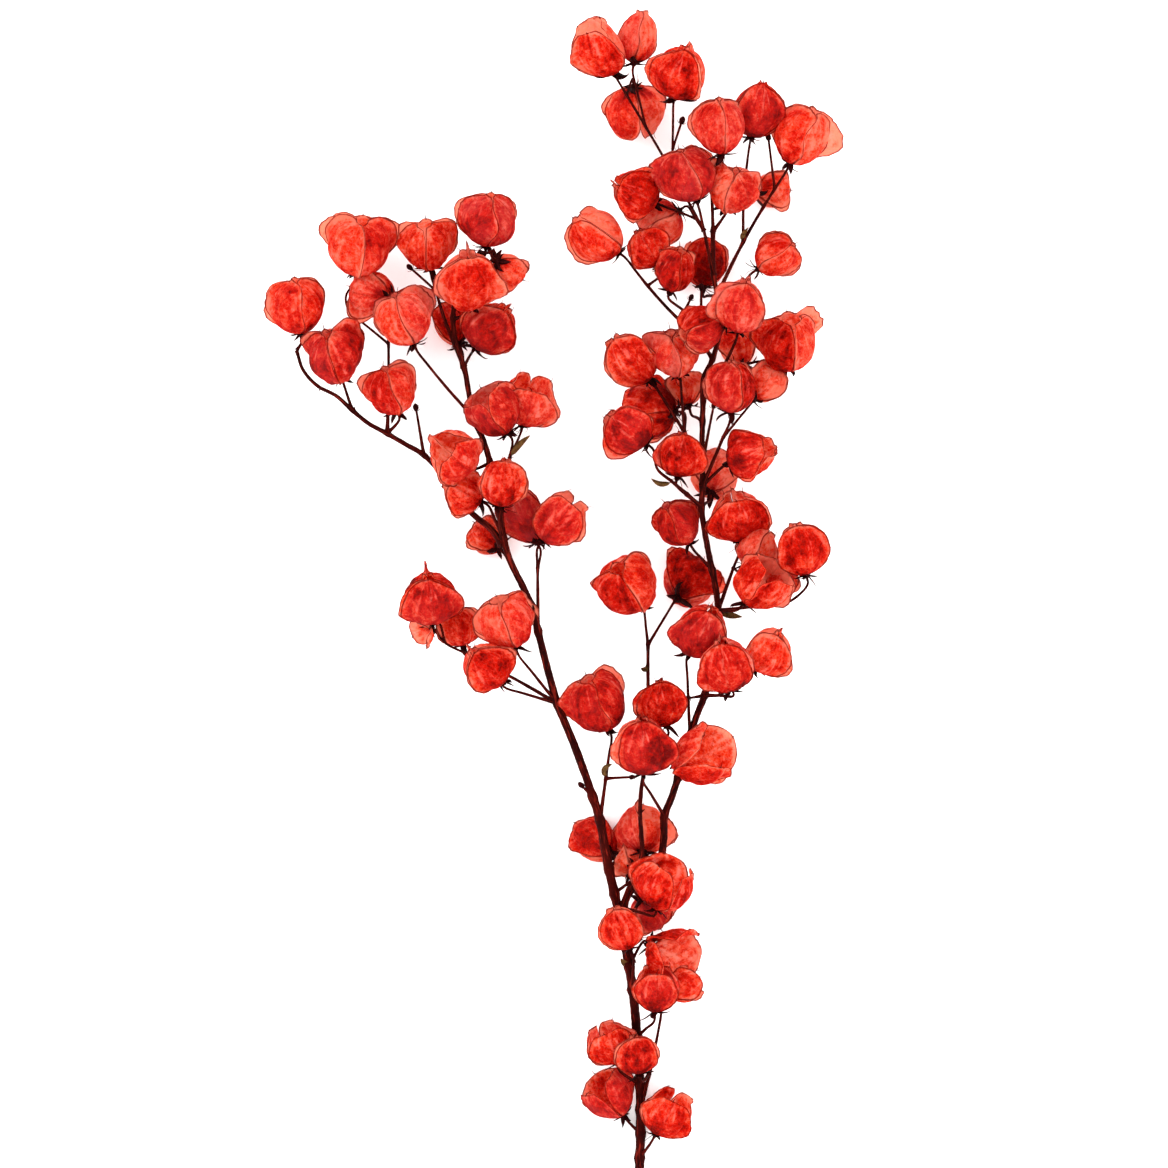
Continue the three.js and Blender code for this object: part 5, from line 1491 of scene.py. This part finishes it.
def fine_route(points, radii, ends):
    """A route in short steps, thicker at its root and where it ends in a bloom."""
    curve = Curve(points)
    count = max(4, math.ceil(curve.length / WOOD_STEP))
    thick = []
    for k in range(count + 1):
        share = k / count * (len(radii) - 1)
        low = min(int(share), len(radii) - 2)
        radius = lerp(radii[low], radii[low + 1], share - low)
        radius *= lerp(WOOD_SHARE, THICK_WOOD_SHARE, smooth(radius, *THICK_WOOD))
        from_root = curve.length * k / count
        from_end = curve.length - from_root
        collars = (end * math.exp(-gap / COLLAR_LENGTH) for end, gap in zip(ends, (from_root, from_end)))
        thick.append(radius * (1 + sum(collars)))
    return curve.spaced(count), thick


def knuckled(points, radii, roots):
    """Radii with a knuckle wherever a twig leaves the route."""
    swollen = []
    for point, radius in zip(points, radii):
        near = min((length(between(point, root)) for root in roots), default=KNUCKLE_REACH)
        swollen.append(radius * (1 + KNUCKLE_HEIGHT * math.exp(-(near / KNUCKLE_LENGTH) ** 2)))
    return swollen


def prongs(points, radii, draw):
    """Short blunt spurs where old leaves and thorns stood."""
    spurs = []
    k = int(PRONG_SPACING * draw(FIRST_PRONG_DRAW))
    while k < len(points) - 3:
        x, y, z = unit(between(points[k], points[k + 1]))
        stray = y * draw((0.5, 1)) - draw(PRONG_STRAY_DRAW)
        aside = unit((stray, -x + draw(PRONG_STRAY_DRAW), draw(PRONG_TILT_DRAW)))
        side = -1 if draw((0, 1)) < 0.5 else 1
        out = unit(added(scaled(aside, side), scaled((x, y, z), PRONG_LEAN)))
        reach = radii[k] + draw(PRONG_DRAW)
        spurs.append(([added(points[k], scaled(out, reach * share)) for share, _ in PRONG_PROFILE],
                      [radius for _, radius in PRONG_PROFILE]))
        k += int(PRONG_SPACING * draw(PRONG_GAP_DRAW))
    return spurs


def wood_splines():
    _, routes, twigs = layout()
    roots = [points[0] for points, _, _ in twigs]
    splines = []
    draw = Draw("prongs")
    for name in MAIN_WOOD:
        fine, thick = fine_route(*routes[name], (0 if name == "stem" else ROOT_COLLAR, 0))
        thick = knuckled(fine, thick, roots)
        splines.append((fine, thick))
        splines.extend(prongs(fine, thick, draw))
    for points, radii, bloom in twigs:
        fine, thick = fine_route(points, radii, (ROOT_COLLAR, STALK_COLLAR if bloom else 0))
        if len(points) > LEAST_KNUCKLED:
            thick = knuckled(fine, thick, [root for root in roots if root is not points[0]])
        splines.append((fine, thick))
    return splines


def cut_end(points, radii):
    """The pale wood at the stem's cut end, a shallow disc that stands just proud of the bark."""
    corners, faces = lathe([(radius * CUT_SHARE * radii[0], rise) for radius, rise in CUT_PROFILE], CUT_SIDES)
    return turned_onto(corners, points[0], between(points[1], points[0])), faces


# Blades: sepals, threads and dry leaves

def normalised(rows):
    return rows / np.linalg.norm(rows, axis=-1, keepdims=True)


def blade(path, facing, widths, thickness, fold):
    """A thin closed blade: four corners round every step, with its two edges folded towards its face."""
    ahead = normalised(np.gradient(path, axis=0))
    side = normalised(np.cross(ahead, facing))
    face = np.cross(side, ahead)
    wide = np.asarray(widths)[:, None] / 2
    thick = np.minimum(thickness / 2, wide)
    lift = face * wide * fold
    return closed_rings(np.stack((path + side * wide + lift, path + face * thick,
                                  path - side * wide + lift, path - face * thick), axis=1))


def closed_rings(rings):
    """Points and faces of a closed skin over rings of corners."""
    steps, corners = rings.shape[:2]
    index = np.arange(steps * corners).reshape(steps, corners)
    turned = np.roll(index, -1, axis=1)
    walls = np.stack((index[:-1], turned[:-1], turned[1:], index[1:]), axis=-1).reshape(-1, 4)
    return rings.reshape(-1, 3), [*map(tuple, walls), tuple(index[0][::-1]), tuple(index[-1])]


def meridian_path(long, start, bend, sway, turn, steps):
    """A path that leaves a bloom's base outwards and bends along it, or back towards the stalk."""
    share = np.linspace(0, 1, steps)
    lean = start + bend * share
    step = long / (steps - 1)
    out, up = (first + np.concatenate(([0], np.cumsum(way(lean[:-1]) * step)))
               for first, way in zip(MERIDIAN_START, (np.cos, np.sin)))
    angle = turn + sway * share ** 2
    path = np.stack((out * np.cos(angle), out * np.sin(angle), up), axis=-1)
    facing = np.stack((np.sin(lean) * np.cos(angle), np.sin(lean) * np.sin(angle), -np.cos(lean)), axis=-1)
    return path, facing


def lathe(profile, sides):
    """Points and faces of a profile of radii and rises that is turned round +Z."""
    radii, rises = np.asarray(profile).T[:, :, None]
    angle = 2 * math.pi * np.arange(sides) / sides
    return closed_rings(np.stack((radii * np.cos(angle), radii * np.sin(angle), rises + 0 * angle), axis=-1))


def calyx(bloom):
    """Cup, sepals and threads at one bloom's base, in the plan."""
    draw = Draw(bloom.name, CALYX_SEED)
    parts = [lathe(CUP_PROFILE, CUP_SIDES)]
    count = int(draw(SEPAL_COUNT_DRAW))
    first = draw(CIRCLE)
    size = CALYX_SHARES.get(bloom.name, 1)
    for k in range(count):
        turn = first + 2 * math.pi * k / count + draw(SEPAL_TURN_DRAW)
        long = draw(SEPAL_LENGTH_DRAW) * size
        if draw((0, 1)) < SEPALS_THAT_HUG:
            start, bend = draw(HUG_DRAW), long / bloom.radius * draw(HUG_BEND_DRAW)
        else:
            start, bend = draw(SPLAY_DRAW), draw(SPLAY_BEND_DRAW)
        path, facing = meridian_path(long, start, bend, draw(SEPAL_SWAY_DRAW), turn, SEPAL_STEPS)
        widths = draw(SEPAL_WIDTH_DRAW) * size * SEPAL_OUTLINE + SEPAL_POINT
        parts.append(blade(path, facing, widths, SEPAL_THICKNESS, draw(SEPAL_FOLD_DRAW)))
    for _ in range(int(draw(THREAD_COUNT_DRAW))):
        turn = draw(CIRCLE)
        path, facing = meridian_path(draw(THREAD_LENGTH_DRAW), draw(THREAD_LEAN_DRAW), draw(THREAD_BEND_DRAW),
                                     draw(THREAD_SWAY_DRAW), turn, THREAD_STEPS)
        widths = np.linspace(THREAD_WIDTH, THREAD_WIDTH / 3, THREAD_STEPS)
        parts.append(blade(path, facing, widths, THREAD_WIDTH, 0))
    return [(bloom.place(points), faces) for points, faces in parts]


def tip_threads(bloom):
    """The dark withered point that ends each bract."""
    grids, draw = bloom_grids(bloom)
    parts = []
    for sheet, _, bract in grids:
        end, before = sheet[[-1, -3], ACROSS_POINTS // 2]
        ahead = normalised(end - before)
        long = draw(TIP_THREAD_DRAW)
        bend = draw(TIP_THREAD_BEND_DRAW) * bract["away"]
        twist = draw(TIP_THREAD_TWIST_DRAW) * np.cross(ahead, bract["away"])
        share = np.linspace(TIP_THREAD_ROOT, 1, TIP_THREAD_STEPS)[:, None]
        path = end + long * (share * ahead + share ** 2 * (bend + twist) * (share > 0))
        widths = np.linspace(*TIP_THREAD_WIDTHS, TIP_THREAD_STEPS)
        parts.append(blade(path, bract["away"], widths, TIP_THREAD_THICKNESS, 0))
    return [(bloom.place(points), faces) for points, faces in parts]


def turned_onto(points, start, ahead):
    """Points of a shape that stands along +Z, stood at a place and turned to point ahead."""
    ahead = normalised(np.asarray(ahead))
    side = normalised(np.cross(ahead, ANY_SIDE))
    turn = np.stack((side, np.cross(ahead, side), ahead), axis=-1)
    return points @ turn.T + np.asarray(start)


def bud(points, draw):
    """A withered bud on the end of a bare twig, with three small scales round its foot."""
    ahead = between(points[-2], points[-1])
    size = draw(BUD_DRAW)
    shape = [(radius * size * draw(BUD_LUMP_DRAW), rise * size) for radius, rise in BUD_PROFILE]
    parts = [lathe(shape, BUD_SIDES)]
    widths = np.array(BUD_SCALE_WIDTHS) * size
    for k in range(3):
        sway, turn = draw(SEPAL_SWAY_DRAW), BUD_SCALE_TURN * k + draw((0, 1))
        path, facing = meridian_path(BUD_SCALE_LENGTH * size, *BUD_SCALE_BEND, sway, turn, len(widths))
        parts.append(blade(path, facing, widths, BUD_SCALE_THICKNESS, 0))
    return [(turned_onto(corners, points[-1], ahead), faces) for corners, faces in parts]


def dry_leaf(root, tip, draw):
    """A small withered leaf, folded along its middle and curled to one side."""
    root, tip, up = np.array(root), np.array(tip), np.array((0, 0, 1.0))
    ahead = tip - root
    long = np.linalg.norm(ahead)
    side = normalised(np.cross(ahead, up))
    share = np.linspace(0, 1, LEAF_STEPS)[:, None]
    curl = draw(LEAF_CURL_DRAW) * long * np.sin(math.pi * share)
    path = root + ahead * share + side * curl + up * LEAF_RISE * long * share ** 3
    twist = draw(LEAF_LEAN_DRAW) + draw(LEAF_TWIST_DRAW) * share
    facing = np.cos(twist) * up + np.sin(twist) * side
    widths = draw(LEAF_WIDTH_DRAW) * LEAF_OUTLINE
    widths[:2] = np.minimum(widths[:2], LEAF_STALK)
    return blade(path, facing, np.maximum(widths, LEAST_BLADE), LEAF_THICKNESS, LEAF_FOLD)


def joined_piece(name, parts, finish):
    """Several closed skins as one piece, none of it under the floor."""
    points, faces, count = [], [], 0
    for corners, skin in parts:
        points.append(corners)
        faces.extend(tuple(int(index) + count for index in face) for face in skin)
        count += len(corners)
    points = np.concatenate(points)
    points[:, 2] = np.maximum(points[:, 2], FLOOR_GAP)
    finished(mesh_object(name, framed(points), faces, finish), "stem")


# Settings

def srgb(red, green, blue):
    """A colour of 0 to 255 as linear light."""
    shares = (red / 255, green / 255, blue / 255)
    return tuple(s / 12.92 if s <= 0.04045 else ((s + 0.055) / 1.055) ** 2.4 for s in shares)


def colour_setting(name, description, default):
    return FloatVectorProperty(name=name, description=description, subtype="COLOR", size=3, min=0, max=1,
                               default=default)


def length_setting(name, description, default, least=0.0):
    return FloatProperty(name=name, description=description, default=default, unit="LENGTH", min=least)


def share_setting(name, description, default):
    return FloatProperty(name=name, description=description, default=default, subtype="FACTOR", min=0, max=1)


class BractSettings(bpy.types.PropertyGroup):
    """Sizes and colours of the papery bracts."""

    thickness: length_setting("Thickness", "How thick a bract is", 0.22 * MM)
    crease_height: length_setting("Crease height", "How far a bract's small creases stand out", 0.5 * MM)
    crease_size: length_setting("Crease size", "How far apart the small creases are", 7 * MM, 0.001)
    translucency: share_setting("Translucency", "Share of the light that goes through", 0.66)
    thinness: share_setting("Thinness", "Power of the dye in the light that goes through a face", 0.5)
    deep: colour_setting("Deep red", "Dye where it lies thickest", srgb(104, 1, 0))
    middle: colour_setting("Red", "Dye over most of a bract", srgb(195, 20, 4))
    orange: colour_setting("Orange", "Dye where it lies thin", srgb(220, 60, 27))
    pale: colour_setting("Salmon", "Dye where it has run out", srgb(234, 131, 103))
    # Rose is a painted sheen over some bracts
    sheen_rose: colour_setting("Rose", "Dusty bloom over some bracts", srgb(184, 58, 62))
    # Pink is a painted highlight along the pale streaks, and also the colour of the worn specks
    pink: colour_setting("Pink", "Streaks and specks where the paper has worn", srgb(250, 148, 136))
    vein: colour_setting("Vein", "The fine net of veins", srgb(246, 120, 96))
    # Base is painted shade at a bract's foot
    base: colour_setting("Base", "A bract's foot", srgb(66, 1, 1))
    margin: colour_setting("Margin", "The very edge of a bract", srgb(124, 2, 0))


class WoodSettings(bpy.types.PropertyGroup):
    """Sizes and colours of the stem, its branches and its twigs."""

    sides: IntProperty(name="Sides", description="Corners round a twig", default=10, min=5, max=24)
    relief: share_setting("Bark relief", "Lumps in the bark, as a share of the radius", 0.2)
    relief_size: length_setting("Relief size", "How far apart the lumps are", 4 * MM, 0.001)
    dark: colour_setting("Dark bark", "Bark in its creases", srgb(22, 1, 1))
    middle: colour_setting("Bark", "Bark over most of a twig", srgb(50, 3, 1))
    pale: colour_setting("Pale bark", "Bark on its streaks and warts", srgb(108, 24, 15))
    cut: colour_setting("Cut wood", "Wood at the cut end", srgb(176, 130, 92))


class WitheredSettings(bpy.types.PropertyGroup):
    """Colours of the sepals, threads, buds and small leaves."""

    sepal_dark: colour_setting("Dark sepal", "Sepals in their creases", srgb(12, 1, 2))
    sepal_pale: colour_setting("Pale sepal", "Sepals on their ridges", srgb(48, 5, 4))
    leaf_dark: colour_setting("Dark leaf", "Leaves in their creases", srgb(46, 26, 14))
    leaf_pale: colour_setting("Pale leaf", "Leaves on their ridges", srgb(104, 74, 40))


class StageSettings(bpy.types.PropertyGroup):
    """The floor, the lights and the camera."""

    floor_side: length_setting("Floor side", "Width and depth of the floor", 12.0)
    floor_colour: colour_setting("Floor", "Paint of the floor", (0.97, 0.97, 0.97))
    sky: FloatProperty(name="Sky", description="Strength of the even light from all round", default=1.7)
    lamp_power: FloatProperty(name="Lamp power", description="Power of each big soft lamp", default=91.0,
                              unit="POWER")
    camera_height: length_setting("Camera height", "Camera above the floor", 6.0)
    focus_height: length_setting("Focus height", "Height that the picture's scale holds at", 45 * MM)


# Operators

class SPRAY_OT_stage(bpy.types.Operator):
    """Adds the pale floor, the soft lights and the camera that looks straight down"""

    bl_idname = "spray.stage"
    bl_label = "Add stage"

    def execute(self, context):
        look = context.scene.spray_stage
        half = look.floor_side / 2
        corners = ((-half, -half, 0), (half, -half, 0), (half, half, 0), (-half, half, 0))
        floor = mesh_object("floor", corners, [(0, 1, 2, 3)], floor_finish(look))

        world = bpy.data.worlds.new("soft_sky")
        world.use_nodes = True
        sky = world.node_tree.nodes["Background"]
        sky.inputs["Color"].default_value = (1, 1, 1, 1)
        sky.inputs["Strength"].default_value = look.sky
        context.scene.world = world

        for name, place, share in LAMPS:
            light = bpy.data.lights.new(name, "AREA")
            light.shape = "DISK"
            light.size = LAMP_SIZE
            light.energy = look.lamp_power * share
            lamp = shown(name, light)
            lamp.visible_camera = False
            lamp.location = place
            lamp.rotation_euler = (-lamp.location).to_track_quat("-Z", "Y").to_euler()

        centre = framed(plan(PICTURE_SIDE / 2, PICTURE_SIDE / 2))
        lens = bpy.data.cameras.new("camera")
        lens.sensor_fit = "HORIZONTAL"
        view_width = PICTURE_SIDE * UNIT * MM
        lens.lens = lens.sensor_width * (look.camera_height - look.focus_height) / view_width
        lens.clip_end = CAMERA_CLIP
        camera = shown("camera", lens)
        camera.location = (centre[0], centre[1], look.camera_height)
        context.scene.camera = camera
        context.scene.view_settings.view_transform = "Standard"
        return {"FINISHED"}


class SPRAY_OT_wood(bpy.types.Operator):
    """Adds the stem, its branches and every twig, and the pale wood at the cut end"""

    bl_idname = "spray.wood"
    bl_label = "Add wood"

    def execute(self, context):
        look = context.scene.spray_wood
        curve = bpy.data.curves.new("routes", "CURVE")
        curve.dimensions = "3D"
        splines = wood_splines()
        for points, radii in splines:
            spline = curve.splines.new("POLY")
            spline.points.add(len(points) - 1)
            places = np.column_stack((framed(points), np.ones(len(points))))
            spline.points.foreach_set("co", places.ravel())
            spline.points.foreach_set("radius", np.array(radii) * MM)
        thing = shown("routes", curve)
        tubes = thing.modifiers.new("tubes", "NODES")
        tubes.node_group = branch_tree()
        set_inputs(tubes, sides=look.sides, bark_relief=look.relief, relief_size=look.relief_size,
                   material=bark_finish(look))
        piece = settled(thing, "stem_and_twigs")
        corners = corners_of(piece.data)
        corners[:, 2] = np.maximum(corners[:, 2], 0)
        piece.data.vertices.foreach_set("co", corners.ravel())
        piece.data.update()
        kept_crisp(piece)
        finished(piece, "stem", "woody_stem")
        dark = tuple(0.5 * share for share in look.cut)
        finish = dry_finish("cut_wood", dark, look.cut, size=0.0008, shine=0.1)
        joined_piece("cut_end", [cut_end(*splines[0])], finish)
        return {"FINISHED"}


class SPRAY_OT_blooms(bpy.types.Operator):
    """Adds every bloom's three papery bracts, one piece for each part of the spray"""

    bl_idname = "spray.blooms"
    bl_label = "Add blooms"

    def execute(self, context):
        look = context.scene.spray_bracts
        blooms = {bloom.name: bloom for bloom in layout()[0]}
        finish = bract_finish(look)
        tree = paper_tree()
        for cluster, names in CLUSTERS.items():
            points, faces, uv, values = bloom_sheets([blooms[name] for name in names])
            thing = mesh_object("sheets", framed(points), faces)
            mesh = thing.data
            corners = np.empty(len(mesh.loops), dtype=np.int32)
            mesh.loops.foreach_get("vertex_index", corners)
            mesh.uv_layers.new(name="Bract").data.foreach_set("uv", uv[corners].astype(np.float32).ravel())
            for key, numbers in values.items():
                layer = mesh.attributes.new(key, "FLOAT", "POINT")
                layer.data.foreach_set("value", numbers.astype(np.float32))
            creases = thing.modifiers.new("creases", "NODES")
            creases.node_group = tree
            set_inputs(creases, crease_height=look.crease_height, crease_size=look.crease_size,
                       material=finish)
            shell = thing.modifiers.new("shell", "SOLIDIFY")
            shell.thickness = look.thickness
            shell.offset = 0
            piece = settled(thing, f"bracts_{cluster}")
            kept_crisp(piece)
            owned = [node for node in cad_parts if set(node.split("_")[1:]) & set(names)]
            finished(piece, "bracts", *owned)
        return {"FINISHED"}


class SPRAY_OT_calyxes(bpy.types.Operator):
    """Adds the cup, the pointed sepals and the curled threads at every bloom, and the points of the bracts"""

    bl_idname = "spray.calyxes"
    bl_label = "Add calyxes"

    def execute(self, context):
        look = context.scene.spray_withered
        finish = dry_finish("withered_sepal", look.sepal_dark, look.sepal_pale, size=0.0022, shine=0.35)
        for name, build in (("calyxes", calyx), ("bract_points", tip_threads)):
            joined_piece(name, [part for bloom in layout()[0] for part in build(bloom)], finish)
        return {"FINISHED"}


class SPRAY_OT_buds(bpy.types.Operator):
    """Adds a withered bud on the end of every bare twig"""

    bl_idname = "spray.buds"
    bl_label = "Add buds"

    def execute(self, context):
        look = context.scene.spray_withered
        finish = dry_finish("withered_bud", look.sepal_dark, look.sepal_pale, size=0.0016, shine=0.3)
        draw = Draw("buds")
        parts = [part for points, _, bloom in layout()[2] if not bloom for part in bud(points, draw)]
        joined_piece("buds", parts, finish)
        return {"FINISHED"}


class SPRAY_OT_leaves(bpy.types.Operator):
    """Adds the small dry leaves"""

    bl_idname = "spray.leaves"
    bl_label = "Add dry leaves"

    def execute(self, context):
        look = context.scene.spray_withered
        finish = dry_finish("dry_leaf", look.leaf_dark, look.leaf_pale, size=0.003, shine=0.2)
        routes = layout()[1]
        draw = Draw("leaves")
        parts = []
        for parent, leaves, column, row, rise in DRY_LEAVES:
            points = routes[parent][0]
            root = points[nearest_step(points, plan(*leaves))]
            parts.append(dry_leaf(root, plan(column, row, root[2] + rise), draw))
        joined_piece("dry_leaves", parts, finish)
        return {"FINISHED"}


class SPRAY_PT_panel(bpy.types.Panel):
    """Lists the steps that build the spray"""

    bl_label = "Dried spray"
    bl_space_type = "VIEW_3D"
    bl_region_type = "UI"
    bl_category = "Spray"

    def draw(self, context):
        for step in STEPS:
            self.layout.operator(step.bl_idname)
        for name in SETTINGS:
            settings = getattr(context.scene, name)
            box = self.layout.box()
            for key in settings.__annotations__:
                box.prop(settings, key)


STEPS = (SPRAY_OT_stage, SPRAY_OT_wood, SPRAY_OT_blooms, SPRAY_OT_calyxes, SPRAY_OT_buds, SPRAY_OT_leaves)
SETTINGS = {
    "spray_bracts": BractSettings,
    "spray_wood": WoodSettings,
    "spray_withered": WitheredSettings,
    "spray_stage": StageSettings,
}
CLASSES = (*SETTINGS.values(), *STEPS, SPRAY_PT_panel)


def register():
    for made in CLASSES:
        bpy.utils.register_class(made)
    for name, settings in SETTINGS.items():
        setattr(bpy.types.Scene, name, PointerProperty(type=settings))


def unregister():
    for name in SETTINGS:
        delattr(bpy.types.Scene, name)
    for made in reversed(CLASSES):
        bpy.utils.unregister_class(made)


def main():
    register()
    for step in STEPS:
        group, name = step.bl_idname.split(".")
        getattr(getattr(bpy.ops, group), name)()


if __name__ == "__main__":
    main()
